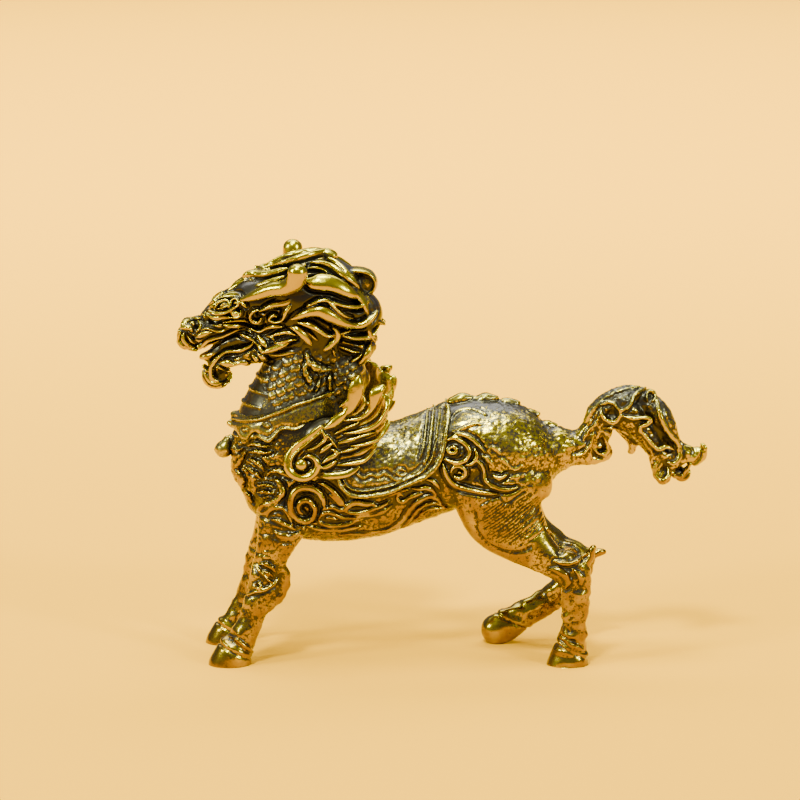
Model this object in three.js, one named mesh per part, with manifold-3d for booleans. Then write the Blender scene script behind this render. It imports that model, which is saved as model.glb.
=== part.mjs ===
// A small cast brass dragon-horse that stands on its four hooves, modelled as one solid.
// Millimetres. +Z is up, the head looks along -X, and the animal's left side faces -Y.
import * as THREE from "three";
import { mergeVertices } from "three/addons/utils/BufferGeometryUtils.js";
import Module from "manifold-3d";

const wasm = await Module();
wasm.setup();

// Driving dimensions. Every place and size below is written for a figurine of BASE_LENGTH.
const LENGTH = 66;
const BASE_LENGTH = 66;
const SCALE = LENGTH / BASE_LENGTH;

// How far the carving and the cloths stand proud of the body.
const CLOTH_RISE = 0.4;
const CARVING_RISE = 0.12;
const PLATE_RISE = 0.05;

// How finely the forms are faceted: big masses, limbs, and strands such as locks and feathers.
const MASS = { sides: 16, rings: 11, dome: 1 };
const LIMB = { sides: 8, rings: 12, dome: 1 };
const TAIL = { sides: 10, rings: 12, dome: 1 };
const STRAND = { sides: 4, rings: 5, dome: 0 };
const LONG_STRAND = { sides: 4, rings: 8, dome: 0 };
const SPIRAL_STRAND = { sides: 4, rings: 12, dome: 0 };

// The finished casting is thinned to this many facets, or until the next step would move the
// surface by more than the largest of these distances.
const FACET_LIMIT = 9800;
const THINNING_STEPS = [0.01, 0.02, 0.035, 0.05, 0.07, 0.09, 0.12];
// A facet shorter than this across is a sliver, whose direction says nothing.
const SLIVER = 0.03;
// How far a facet may tilt when a neighbour is removed, as a cosine.
const LARGEST_TILT = 0.6;

const SIDES = { left: -1, right: 1 };

// Brass with a dark antique finish in the hollows.
const BRASS = new THREE.MeshStandardMaterial({
  color: new THREE.Color(0.72, 0.5, 0.16),
  roughness: 0.32,
  metalness: 1,
});

// The trunk from chest to rump. Stations are [x, y, z, half height, half width].
const TRUNK = [
  [-23.0, 0, 24.5, 3.7, 3.8],
  [-21.6, 0, 24.1, 6.1, 4.9],
  [-18.5, 0, 23.6, 8.1, 5.7],
  [-14.0, 0, 22.9, 8.2, 6.1],
  [-9.5, 0, 22.6, 7.4, 6.0],
  [-5.0, 0, 23.3, 6.5, 5.6],
  [-1.0, 0, 24.7, 6.4, 5.3],
  [3.5, 0, 26.4, 6.4, 5.7],
  [8.5, 0, 26.3, 6.1, 5.9],
  [12.0, 0, 26.2, 4.6, 4.6],
  [14.0, 0, 26.5, 3.0, 3.0],
];

// The neck from the withers up to the skull. Stations are [x, y, z, half depth, half width].
const NECK = [
  [-18.0, 0, 21.4, 7.2, 5.0],
  [-18.2, 0, 24.4, 8.1, 5.4],
  [-18.2, 0, 27.6, 8.5, 5.4],
  [-18.4, 0, 31.0, 7.2, 4.8],
  [-17.7, 0, 35.0, 5.6, 4.1],
  [-16.4, 0, 39.0, 4.8, 3.9],
  [-15.2, 0, 43.0, 4.6, 3.9],
];

// The solid mass of the mane behind the face, which the locks lie on.
const MANE = [
  [-23.6, 0, 46.3, 2.2, 2.3],
  [-20.6, 0, 46.8, 3.5, 4.1],
  [-17.4, 0, 46.0, 5.2, 5.4],
  [-14.6, 0, 45.0, 6.1, 5.7],
  [-12.2, 0, 44.1, 5.2, 5.0],
  [-10.8, 0, 43.7, 3.6, 3.6],
];

// The underside of the mane at the nape: centre and radii.
const NAPE = { at: [-12.8, 0, 41.2], radii: [3.0, 3.7, 3.3] };

const SNOUT = [
  [-31.75, 0, 41.1, 1.5, 1.7],
  [-30.6, 0, 41.5, 1.75, 2.1],
  [-28.3, 0, 42.4, 1.7, 2.3],
  [-26.0, 0, 44.2, 2.2, 3.0],
  [-23.5, 0, 45.4, 3.1, 3.7],
  [-20.5, 0, 45.2, 3.9, 4.3],
  [-18.0, 0, 44.6, 4.0, 4.4],
];

const LOWER_JAW = [
  [-29.0, 0, 36.9, 0.75, 1.3],
  [-27.6, 0, 37.8, 1.05, 2.0],
  [-25.4, 0, 38.5, 1.15, 2.6],
  [-23.0, 0, 39.2, 1.6, 3.1],
  [-20.2, 0, 40.6, 2.6, 3.7],
  [-18.2, 0, 41.4, 3.2, 4.0],
];

// What closes the back of the open mouth between the jaws.
const MOUTH_FLOOR = [
  [-26.9, 0, 39.8, 0.5, 1.3],
  [-25.2, 0, 40.6, 0.9, 1.7],
  [-23.4, 0, 41.1, 1.4, 2.3],
  [-21.0, 0, 41.6, 1.8, 3.0],
];

// The tongue, which reaches past the lower lip.
const TONGUE = [
  [-30.2, 0, 38.3, 0.4, 0.6],
  [-28.8, 0, 38.6, 0.75, 1.3],
  [-26.8, 0, 39.3, 0.8, 1.5],
];

// The beard that curls forward under the chin.
const BEARD = [
  [-28.2, 0, 37.3, 1.0, 1.2],
  [-29.2, 0, 36.2, 1.0, 1.2],
  [-28.9, 0, 35.2, 0.9, 1.1],
  [-27.7, 0, 35.1, 0.8, 1.0],
  [-27.2, 0, 36.1, 0.55, 0.7],
];

// Legs, as seen in side view: [x, z, half depth] with the distance from the middle and half width.
const FORELEG = [
  [-18.6, 23.5, 4.4, 3.0, 2.6],
  [-19.3, 20.3, 3.8, 3.4, 2.5],
  [-20.3, 17.2, 3.0, 3.9, 2.1],
  [-21.4, 14.0, 2.15, 4.3, 1.7],
  [-22.2, 11.4, 2.0, 4.5, 1.6],
  [-23.0, 8.6, 1.7, 4.7, 1.35],
  [-24.2, 5.4, 1.6, 4.8, 1.3],
  [-25.2, 3.2, 1.8, 4.9, 1.55],
  [-26.2, 1.4, 2.4, 5.0, 1.9],
  [-26.9, -0.4, 2.7, 5.0, 2.1],
];
// How much further forward the right knee, ear and wing are than the left ones.
const RIGHT_KNEE_FORWARD = 0.9;
const RIGHT_EAR_FORWARD = 1.0;
const RIGHT_WING_FORWARD = 1.2;

const THIGH = [
  [7.0, 26.0, 5.0, 2.2, 3.2],
  [7.0, 22.6, 6.1, 2.9, 3.2],
  [8.0, 18.9, 5.0, 3.5, 2.6],
];
const STANDING_SHANK = [
  [10.4, 15.9, 3.2, 4.1, 2.1],
  [13.2, 13.6, 2.0, 4.6, 1.7],
  [15.9, 12.0, 2.3, 5.0, 1.65],
  [16.6, 9.6, 1.9, 5.0, 1.45],
  [16.4, 6.4, 1.6, 5.0, 1.3],
  [16.3, 3.8, 1.75, 5.0, 1.5],
  [15.9, 1.5, 2.3, 5.0, 1.85],
  [15.6, -0.4, 2.7, 5.0, 2.1],
];
const STEPPING_SHANK = [
  [11.0, 15.3, 3.2, 4.2, 2.1],
  [14.8, 12.8, 2.1, 4.8, 1.7],
  [17.4, 10.7, 2.1, 5.0, 1.6],
  [16.2, 8.1, 1.7, 5.0, 1.4],
  [13.3, 5.6, 1.55, 5.0, 1.3],
  [10.6, 3.8, 1.7, 5.0, 1.5],
  [8.3, 2.3, 2.15, 5.0, 1.8],
  [6.9, 1.5, 2.1, 5.0, 1.9],
];

const TAIL_PATH = [
  [12.0, 0, 27.2, 2.6, 2.4],
  [15.6, 0, 26.6, 2.15, 2.0],
  [18.6, 0, 28.0, 2.0, 1.7],
  [20.2, 0, 31.0, 2.2, 2.0],
  [22.8, 0, 31.7, 2.9, 2.4],
  [25.5, 0, 30.4, 3.1, 2.5],
  [27.3, 0, 27.6, 2.5, 2.2],
  [28.6, 0, 25.4, 1.7, 1.7],
];

// Strands are paths in side view, [x, z], with a half width. They lie on the surface of the body.
const MANE_LOCKS = [
  {
    path: [[-25.0, 47.9], [-21.5, 49.4], [-17.4, 50.9], [-13.8, 50.8], [-11.9, 48.9], [-10.4, 47]],
    width: 0.9,
  },
  { path: [[-26.0, 47.2], [-24.4, 48.0], [-22.6, 47.9]], width: 0.7 },
  { path: [[-17.0, 50.3], [-14.5, 50.0], [-12.6, 48.9], [-10.8, 47.5]], width: 0.6 },
  { path: [[-17.4, 48.2], [-15.3, 49.0], [-12.8, 48.6], [-10.9, 47.4], [-9.9, 46.2]], width: 1.05 },
  { path: [[-15.6, 46.8], [-12.4, 46.4], [-10.8, 45.9], [-9.0, 46.5]], width: 0.5 },
  {
    path: [[-19.1, 43.9], [-17, 45.6], [-14.8, 45.4], [-12.6, 43.9], [-10.2, 43.6], [-8.3, 45.2]],
    width: 0.95,
  },
  {
    path: [[-19, 44], [-17, 42.6], [-15.6, 41], [-14.2, 40.9], [-13.2, 41.8], [-13.7, 43.1]],
    width: 0.85,
  },
  { path: [[-17.4, 43.9], [-15.9, 43.5], [-14.4, 42.3]], width: 0.5 },
  { path: [[-13.0, 41.6], [-11.0, 41.7], [-9.4, 42.2], [-8.2, 43.2]], width: 0.7 },
  { path: [[-16.0, 39.6], [-14.0, 39.0], [-12.0, 38.4], [-10.2, 39.0], [-9.1, 40.7]], width: 0.8 },
  { path: [[-18.3, 42.7], [-17.2, 41.2], [-16.7, 39.2], [-15.4, 38.0], [-13.6, 37.7]], width: 0.7 },
];
const LOCK_RISE = 0.3;

const FACE_STRANDS = [
  { path: [[-31.0, 39.6], [-29.0, 40.6], [-27.0, 41.7], [-25.2, 42.3], [-23.3, 41.5]], width: 0.35 },
  { path: [[-23.2, 40.9], [-24.2, 40.1], [-26.0, 39.5], [-27.7, 38.7], [-29.0, 37.3]], width: 0.35 },
  { path: [[-27.4, 43.2], [-25.2, 43.2], [-22.9, 42.4], [-21.5, 42.8], [-19.8, 43.1]], width: 0.42 },
  { path: [[-29.0, 44.7], [-28.0, 43.8], [-26.5, 43.9], [-25.0, 45.5]], width: 0.45 },
  { path: [[-22.7, 45.3], [-20.6, 46.0], [-19.2, 46.3], [-18.1, 47.4]], width: 0.5 },
  { path: [[-22.4, 40.2], [-20.6, 41.2], [-18.6, 41.6]], width: 0.5 },
  { path: [[-22.2, 39.3], [-20.0, 39.7], [-17.4, 39.2]], width: 0.45 },
];

// Ears that lie back along the brow and end in a rounded tip: [x, y, z, half height, half width].
const EAR = [
  [-24.7, 3.0, 46.2, 0.6, 0.9],
  [-22.4, 3.9, 47.4, 1.0, 1.1],
  [-20.2, 4.8, 48.1, 1.1, 1.1],
  [-18.6, 5.7, 49.1, 0.9, 0.95],
  [-17.7, 6.4, 50.3, 0.9, 0.9],
  [-17.6, 6.8, 50.9, 0.95, 0.95],
];
// The thick curl at the nape.
const NAPE_CURL = [
  [-13.0, 0, 48.6, 1.0, 1.5],
  [-10.8, 0, 49.0, 0.95, 1.5],
  [-9.0, 0, 48.5, 0.9, 1.4],
  [-8.6, 0, 47.2, 0.8, 1.2],
  [-9.8, 0, 46.5, 0.6, 1.0],
];
// Locks that hang down the back of the mane: [x, y, z, half depth, half width].
const BACK_LOCKS = [
  [
    [-13.2, 3.4, 49.4, 0.7, 0.8],
    [-10.8, 3.7, 47.0, 0.9, 1.0],
    [-9.4, 3.0, 44.4, 0.9, 1.0],
    [-9.4, 2.2, 41.6, 0.8, 0.9],
    [-8.4, 1.9, 40.2, 0.4, 0.5],
  ],
  [
    [-11.6, 1.2, 47.2, 0.7, 0.8],
    [-9.2, 1.5, 45.4, 0.9, 1.0],
    [-8.6, 1.1, 43.0, 0.8, 0.9],
    [-7.4, 0.9, 42.4, 0.4, 0.5],
  ],
];

// The wing: a thin blade that leans out from the shoulder, with feathers along it.
const WING = { rootX: -17.5, rootY: 6.5, lean: -0.06, halfThickness: 0.45, featherRise: 0.35 };
const WING_ROOT = { at: [-14.2, 4.5, 28.4], radii: [3.6, 1.7, 3.2] };
const WING_OUTLINE = [
  [-19.0, 25.2], [-18.8, 27.8], [-15.4, 30.9], [-12.6, 33.4], [-11.2, 36.6], [-9.0, 34.8],
  [-7.4, 34.0], [-7.2, 31.0], [-8.9, 28.0], [-11.0, 25.6], [-15.0, 24.4],
];
const FEATHERS = [
  { path: [[-15.8, 29.9], [-13.7, 31.6], [-12.2, 33.8], [-11.2, 36.2], [-10.5, 38.2]], width: 1.0 },
  { path: [[-14.6, 29.6], [-11.0, 31.9], [-8.9, 33.6], [-8.2, 35.4], [-7.7, 36.6]], width: 0.85 },
  { path: [[-14.2, 29.0], [-10.2, 30.6], [-7.7, 31.9], [-6.9, 33.9], [-6.9, 35.5]], width: 0.75 },
  { path: [[-13.8, 28.2], [-9.9, 29.8], [-7.5, 31.1], [-6.5, 32.8]], width: 0.7 },
  { path: [[-13.5, 27.4], [-10.2, 28.5], [-8.0, 29.5], [-6.6, 31.2]], width: 0.7 },
  { path: [[-13.6, 26.4], [-11.2, 26.8], [-9.2, 27.6], [-8.0, 29.1]], width: 0.75 },
  { path: [[-15.3, 25.0], [-13.2, 24.7], [-11.3, 25.2], [-10.2, 26.3]], width: 0.7 },
];
const WING_EDGE = { path: [[-19.9, 26.1], [-19.3, 27.9], [-17.5, 29.6], [-15.0, 31.1]], width: 0.6 };

// Spirals: centre [x, z], outer and inner radius, first angle in degrees, turns, half width.
const WING_SPIRAL = { at: [-17.7, 26.4], outer: 2.15, inner: 0.9, from: 175, turns: 1.25, width: 0.55 };
const BODY_SPIRALS = [
  { at: [-17.5, 20.3], outer: 2.75, inner: 0.5, from: 70, turns: 1.75, width: 0.55 },
  { at: [0.9, 27.8], outer: 1.0, inner: 0.3, from: 0, turns: 1.2, width: 0.35 },
  { at: [1.8, 24.4], outer: 1.3, inner: 0.4, from: 200, turns: 1.3, width: 0.4 },
];
const BODY_STRANDS = [
  { path: [[-16.6, 22.9], [-15.0, 23.3], [-13.6, 22.4], [-12.3, 21.0]], width: 0.5 },
  { path: [[-23.2, 22.6], [-21.5, 23.4], [-20.1, 22.7], [-20.4, 21.4], [-22.3, 20.9]], width: 0.55 },
  { path: [[-23.2, 25.6], [-22.3, 24.5], [-21.0, 25.0], [-19.4, 23.8]], width: 0.5 },
  { path: [[-21.8, 20.0], [-21.5, 18.8], [-20.3, 18.3], [-19.2, 17.3]], width: 0.5 },
  { path: [[-20.8, 17.3], [-20.1, 16.2], [-18.9, 16.1], [-18.2, 16.9]], width: 0.45 },
  { path: [[0.0, 25.4], [0.4, 23.6], [1.8, 22.4], [4.0, 22.1], [6.8, 22.1]], width: 0.42 },
  { path: [[1.4, 29.9], [3.1, 29.6], [3.8, 28.2], [3.4, 26.6], [2.2, 25.9]], width: 0.42 },
  { path: [[4.8, 24.2], [5.8, 23.1], [7.4, 22.8], [8.6, 23.0]], width: 0.4 },
  { path: [[4.1, 20.3], [4.2, 18.2], [4.8, 16.6], [6.4, 15.3], [9.0, 14.9]], width: 0.4 },
  { path: [[-15.6, 19.0], [-12.0, 18.0], [-8.0, 19.2], [-4.0, 20.4], [-0.6, 21.0]], width: 0.45 },
  { path: [[-13.5, 16.6], [-9.5, 16.6], [-5.5, 18.0], [-1.5, 19.2]], width: 0.45 },
];

// The saddle cloth, seen from the side, and the cord that edges it.
const SADDLE_EDGE = [
  [-13.4, 24.2], [-12.2, 22.4], [-10.4, 21.8], [-6.4, 22.3],
  [-3.4, 23.6], [-1.0, 25.8], [-0.1, 28.2], [0.5, 30.8],
];
const SADDLE_TOP = [[0.9, 36], [-13.6, 36]];
const SADDLE_CORD = 0.4;
// Ribs across the back of the saddle cloth, just inside its edge.
const SADDLE_RIBS = [
  [[-3.2, 24.6], [-2.0, 26.3], [-1.4, 28.2], [-1.2, 30.4]],
  [[-2.2, 24.8], [-1.2, 26.6], [-0.8, 28.4], [-0.4, 30.6]],
];

// The breast cloth around the neck: its upper edge, then its scalloped lower edge.
const BREAST_CLOTH = [
  [-28.5, 31.2], [-23.8, 31.5], [-21.0, 32.3], [-18.0, 33.5], [-13.0, 34.6], [-11.5, 31.5], [-15.5, 31.3],
  [-17.4, 30.6], [-18.6, 30.0], [-20.0, 30.0], [-21.2, 28.8], [-22.3, 28.8], [-23.4, 29.6], [-24.3, 28.5],
  [-25.1, 28.3], [-25.9, 29.3], [-28.5, 28.9],
];
const BELL = { at: [-27.5, 0, 26.5], radius: 1.15 };
const BELL_LOOP = { at: [-26.9, 0, 27.7], radius: 0.7 };

// Plates around the front of the neck: how many, the share of the neck's length they cover from
// below to above, and how far round they reach in degrees.
const THROAT_PLATES = { count: 6, from: 0.42, to: 0.72, reach: 62, width: 0.42 };

// Flame-like lobes along the rump: [x, z, half length].
const DORSAL_LOBES = [
  [2.4, 32.9, 1.4], [5.3, 32.9, 1.4], [8.0, 32.3, 1.4], [10.7, 30.9, 1.2], [13.0, 29.4, 1.1],
];

// Spurs behind the knees and hocks: [x, z, half depth, half width] down the path.
const KNEE_SPUR = [
  [-20.6, 13.0, 0.5, 0.6], [-19.7, 11.2, 0.8, 0.8], [-20.3, 9.2, 0.9, 0.7], [-21.9, 7.2, 0.6, 0.5],
];
const HOCK_SPUR = [[16.6, 12.6, 0.9, 0.8], [18.0, 13.6, 0.9, 0.8], [18.7, 15.0, 0.55, 0.6]];
const STEPPING_SPUR = [[17.6, 11.2, 0.9, 0.8], [19.2, 11.8, 0.8, 0.7], [20.7, 12.0, 0.45, 0.5]];

// Curled locks around the tail: [x, y, z, half thickness, half width].
const TAIL_LOCKS = [
  [
    [16.0, 0, 25.4, 1, 1.2], [18.8, 0, 25.3, 0.9, 1.1],
    [20.6, 0, 25.9, 0.7, 0.9], [20.5, 0, 27, 0.5, 0.6],
  ],
  [
    [27.6, 0, 27.6, 1.3, 1.5], [29.8, 0, 26.1, 1.3, 1.3],
    [31.6, 0, 25.7, 1.1, 1], [32.65, 0, 26.6, 0.7, 0.7],
  ],
  [
    [26.4, -0.9, 26.4, 0.9, 0.9], [26.8, -1.3, 24.2, 0.8, 0.8],
    [27.5, -1.4, 22.8, 0.7, 0.7], [28.4, -1.3, 23.4, 0.5, 0.5],
  ],
  [
    [28.4, 0.6, 25.4, 0.9, 0.9], [29.5, 1.1, 23.7, 0.7, 0.8],
    [30.3, 1.2, 23.1, 0.6, 0.6], [31, 1.1, 24, 0.4, 0.4],
  ],
  [
    [22.6, 0.8, 29, 0.9, 0.9], [23.7, 1.2, 27.2, 0.7, 0.8],
    [23.8, 1.2, 25.9, 0.5, 0.5], [23.3, 1.2, 25.9, 0.3, 0.3],
  ],
];
const TAIL_STRANDS = [
  {
    path: [[22.6, 31.2], [25.3, 31.2], [25.2, 29.9], [24.9, 28.8], [26.4, 27.2], [28.8, 27.0]],
    width: 0.45,
  },
  { path: [[25.9, 33.4], [27.0, 31.6], [28.4, 29.2], [29.2, 27.2]], width: 0.5 },
  { path: [[20.2, 33.0], [22.4, 33.6], [24.6, 34.0]], width: 0.5 },
];
// The hollow down each side of the tail, as [x, z, half length, half width] in side view.
const TAIL_HOLLOW = [
  [24.2, 32.6, 1.0, 0.6], [25.6, 30.6, 1.5, 1.0], [27.0, 28.2, 1.3, 1.0], [27.9, 26.2, 0.8, 0.7],
];
const TAIL_SPIRAL = { at: [20.9, 31.4], outer: 1.2, inner: 0.5, from: 100, turns: 1.1, width: 0.4 };

// How a strand's half width changes from its root (0) to its tip (1).
const TAPER = {
  lock: (t) => 0.35 + 0.65 * Math.sin(Math.PI * Math.min(1, 0.12 + 0.82 * t)),
  cord: () => 1,
  spiral: (t) => 1 - 0.35 * t,
};

// Turns a closed three.js geometry into a solid that can be joined and cut.
function solidOf(geometry) {
  geometry.deleteAttribute("normal");
  geometry.deleteAttribute("uv");
  const merged = mergeVertices(geometry, 1e-4);
  return new wasm.Manifold(
    new wasm.Mesh({
      numProp: 3,
      vertProperties: new Float32Array(merged.attributes.position.array),
      triVerts: new Uint32Array(merged.index.array),
    }),
  );
}

function geometryOf(solid) {
  const mesh = solid.getMesh();
  const geometry = new THREE.BufferGeometry();
  geometry.setAttribute("position", new THREE.BufferAttribute(mesh.vertProperties, 3));
  geometry.setIndex(new THREE.BufferAttribute(mesh.triVerts, 1));
  geometry.computeVertexNormals();
  return geometry;
}

const join = (solids) => wasm.Manifold.union(solids.flat(Infinity));

const SIDEWAYS = new THREE.Vector3(0, 1, 0);
const UP = new THREE.Vector3(0, 0, 1);

const curveThrough = (points) =>
  new THREE.CatmullRomCurve3(points.map(([x, y, z]) => new THREE.Vector3(x, y, z)), false, "catmullrom", 0.5);

// Follows a path of stations [x, y, z, across, aside] and gives the section at any share of it.
function guide(stations, facing = SIDEWAYS) {
  const path = curveThrough(stations);
  const sizes = curveThrough(stations.map(([, , , across, aside]) => [across, aside, 0]));
  return (t) => {
    const tangent = path.getTangent(t).normalize();
    const aside = facing.clone().addScaledVector(tangent, -facing.dot(tangent)).normalize();
    const across = aside.clone().cross(tangent);
    return { centre: path.getPoint(t), size: sizes.getPoint(t), tangent, aside, across };
  };
}

// A closed solid along a smooth path. Each section is an ellipse, `across` being its half size in
// side view and `aside` its half size along `facing`. Each end is a dome.
function sweep(stations, { sides, rings, dome }, facing = SIDEWAYS) {
  const at = guide(stations, facing);
  const slice = (t, out, shrink) => {
    const { centre, size, tangent, aside, across } = at(t);
    centre.addScaledVector(tangent, out * Math.min(size.x, size.y));
    across.multiplyScalar(size.x * shrink);
    aside.multiplyScalar(size.y * shrink);
    return { centre, across, aside };
  };
  const angles = Array.from({ length: dome }, (_, k) => (((k + 1) / (dome + 1)) * Math.PI) / 2);
  const slices = [
    ...angles.map((angle) => slice(0, -Math.sin(angle), Math.cos(angle))).reverse(),
    ...Array.from({ length: rings + 1 }, (_, i) => slice(i / rings, 0, 1)),
    ...angles.map((angle) => slice(1, Math.sin(angle), Math.cos(angle))),
  ];
  return skin(slices, sides, slice(0, -1, 0).centre, slice(1, 1, 0).centre);
}

// Joins elliptic slices into a closed skin with a pole at each end.
function skin(slices, sides, firstPole, lastPole) {
  const positions = [];
  const index = [];
  for (const { centre, across, aside } of slices) {
    for (let j = 0; j < sides; j++) {
      const angle = (2 * Math.PI * j) / sides;
      const corner = centre.clone();
      corner.addScaledVector(across, Math.cos(angle)).addScaledVector(aside, Math.sin(angle));
      positions.push(...corner.toArray());
    }
  }
  const first = slices.length * sides;
  const last = first + 1;
  positions.push(firstPole.x, firstPole.y, firstPole.z, lastPole.x, lastPole.y, lastPole.z);
  for (let j = 0; j < sides; j++) {
    const next = (j + 1) % sides;
    for (let i = 0; i + 1 < slices.length; i++) {
      const [a, b, c, d] = [i * sides + j, i * sides + next, (i + 1) * sides + j, (i + 1) * sides + next];
      index.push(a, b, d, a, d, c);
    }
    const end = (slices.length - 1) * sides;
    index.push(first, next, j, last, end + j, end + next);
  }
  const geometry = new THREE.BufferGeometry();
  geometry.setAttribute("position", new THREE.Float32BufferAttribute(positions, 3));
  geometry.setIndex(index);
  return solidOf(geometry);
}

// A ball, or an ellipsoid where three radii are given.
function ball([x, y, z], rx, ry = rx, rz = rx) {
  const geometry = new THREE.SphereGeometry(1, 8, 5).scale(rx, ry, rz).translate(x, y, z);
  return solidOf(geometry);
}

// A slab between y = -depth and y = depth, with an outline given in side view.
function slab(outline, depth) {
  const shape = new THREE.Shape(outline.map(([x, z]) => new THREE.Vector2(x, z)));
  const geometry = new THREE.ExtrudeGeometry(shape, { depth: 2 * depth, bevelEnabled: false });
  return solidOf(geometry.rotateX(Math.PI / 2).translate(0, depth, 0));
}

// The points of a flat spiral in side view, wound inwards.
function spiralPath({ at: [x, z], outer, inner, from, turns }, count = 14) {
  return Array.from({ length: count }, (_, i) => {
    const t = i / (count - 1);
    const angle = THREE.MathUtils.degToRad(from) + 2 * Math.PI * turns * t;
    const radius = THREE.MathUtils.lerp(outer, inner, t);
    return [x + radius * Math.cos(angle), z + radius * Math.sin(angle)];
  });
}

// Where a level ray from one side meets the body, as the distance from the middle plane.
function surfaceFinder(body) {
  const target = new THREE.Mesh(geometryOf(body), new THREE.MeshBasicMaterial({ side: THREE.DoubleSide }));
  const caster = new THREE.Raycaster();
  const start = 40;
  return (x, z, side) => {
    caster.set(new THREE.Vector3(x, side * start, z), new THREE.Vector3(0, -side, 0));
    const hit = caster.intersectObject(target)[0];
    return hit ? Math.abs(hit.point.y) : null;
  };
}

// Lays a strand on a surface, on one side. `depthAt` gives the distance from the middle plane.
function strand({ path, width }, side, depthAt, rise, detail, taper = TAPER.lock, thickness = width * 0.8) {
  const depths = path.map(([x, z]) => depthAt(x, z, side));
  const known = depths.filter((d) => d !== null);
  const fallback = known.length ? Math.min(...known) : 0;
  const stations = path.map(([x, z], i) => {
    const size = taper(i / (path.length - 1));
    const y = side * ((depths[i] ?? fallback) + rise);
    return [x, y, z, width * size, thickness * size];
  });
  return sweep(stations, detail);
}

const bothSides = (make) => Object.values(SIDES).map(make);

// Stations given for the right side, brought to either side. The right one may sit further forward.
function mirrored(stations, side, rightForward = 0) {
  const forward = side === SIDES.right ? rightForward : 0;
  return stations.map(([x, y, ...rest]) => [x - forward, side * y, ...rest]);
}

// A leg from side-view stations, with the knee carried forward on request.
function leg(stations, side, kneeForward = 0) {
  const hip = stations[0][1];
  return sweep(
    stations.map(([x, z, across, off, aside]) => {
      const share = Math.min(1, Math.max(0, (hip - z) / (hip / 2)));
      return [x - kneeForward * share, side * off, z, across, aside];
    }),
    LIMB,
  );
}

function spur(stations, side, off = 4.8, shift = 0) {
  return sweep(stations.map(([x, z, across, aside]) => [x + shift, side * off, z, across, aside]), STRAND);
}

function legs() {
  const { left, right } = SIDES;
  return [
    leg(FORELEG, left),
    leg(FORELEG, right, RIGHT_KNEE_FORWARD),
    leg([...THIGH, ...STANDING_SHANK], left),
    leg([...THIGH, ...STEPPING_SHANK], right),
    spur(KNEE_SPUR, left, 4.6),
    spur(KNEE_SPUR, right, 4.6, -RIGHT_KNEE_FORWARD),
    spur(HOCK_SPUR, left),
    spur(STEPPING_SPUR, right),
  ];
}

function headMasses() {
  const nostrils = bothSides((side) => ball([-31.5, side * 1.1, 42.4], 0.95, 0.8, 0.8));
  const brows = bothSides((side) => ball([-26.6, side * 2.5, 45.4], 1.3, 0.9, 0.9));
  const eyes = bothSides((side) => ball([-25.5, side * 3.1, 44.5], 0.55));
  return [
    sweep(MANE, MASS),
    ball(NAPE.at, ...NAPE.radii),
    sweep(SNOUT, LIMB),
    sweep(LOWER_JAW, LIMB),
    sweep(MOUTH_FLOOR, LIMB),
    sweep(TONGUE, STRAND),
    sweep(BEARD, { ...STRAND, sides: 6 }),
    ball([-32.1, 0, 40.2], 1.05, 1.5, 1.0),
    nostrils,
    brows,
    eyes,
  ];
}

// A cloth that wraps part of the body: a slightly larger copy of it, cut to an outline.
function cloth(stations, outline) {
  const larger = stations.map(([x, y, z, ...half]) => [x, y, z, ...half.map((size) => size + CLOTH_RISE)]);
  return sweep(larger, MASS).intersect(slab(outline, 12));
}

function wing(side) {
  const depthAt = (x) => WING.rootY + WING.lean * (x - WING.rootX);
  const forward = side === SIDES.right ? RIGHT_WING_FORWARD : 0;
  const place = (path) => path.map(([x, z]) => [x - forward * THREE.MathUtils.smoothstep(z, 27, 34), z]);
  const corners = place(WING_OUTLINE).map(([x, z]) => new THREE.Vector2(x, z));
  const blade = solidOf(bladeGeometry(new THREE.SplineCurve(corners).getPoints(24), side, depthAt));
  const onBlade = ({ path, width }, detail, taper) =>
    strand({ path: place(path), width }, side, depthAt, WING.featherRise, detail, taper);
  return [
    blade,
    FEATHERS.map((feather) => onBlade(feather, STRAND)),
    onBlade(WING_EDGE, STRAND, TAPER.cord),
    onBlade({ path: spiralPath(WING_SPIRAL), width: WING_SPIRAL.width }, SPIRAL_STRAND, TAPER.spiral),
    ball([-17.8, side * (depthAt(-17.8) + 0.3), 26.3], 0.75),
    ball([WING_ROOT.at[0], side * WING_ROOT.at[1], WING_ROOT.at[2]], ...WING_ROOT.radii),
  ];
}

// The wing's blade: an outline extruded, then leaned out so that it follows `depthAt`.
function bladeGeometry(outline, side, depthAt) {
  const geometry = new THREE.ExtrudeGeometry(new THREE.Shape(outline), {
    depth: 2 * WING.halfThickness,
    bevelEnabled: false,
  });
  geometry.rotateX(Math.PI / 2).translate(0, WING.halfThickness, 0);
  const position = geometry.attributes.position;
  for (let i = 0; i < position.count; i++) {
    position.setY(i, position.getY(i) + side * depthAt(position.getX(i)));
  }
  return geometry;
}

// Plates across the throat, each a short bar bent around the front of the neck.
function throatPlates() {
  const { count, from, to, reach, width } = THROAT_PLATES;
  const neck = guide(NECK);
  const reachAngle = THREE.MathUtils.degToRad(reach);
  return Array.from({ length: count }, (_, i) => {
    const { centre, across, aside, size } = neck(THREE.MathUtils.lerp(from, to, i / (count - 1)));
    const stations = [-1, -0.5, 0, 0.5, 1].map((s) => {
      const angle = s * reachAngle;
      const place = centre.clone();
      place.addScaledVector(across, -(size.x + PLATE_RISE) * Math.cos(angle));
      place.addScaledVector(aside, (size.y + PLATE_RISE) * Math.sin(angle));
      const half = width * (1 - 0.45 * s * s);
      return [...place.toArray(), half, half];
    });
    return sweep(stations, STRAND, UP);
  });
}

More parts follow.
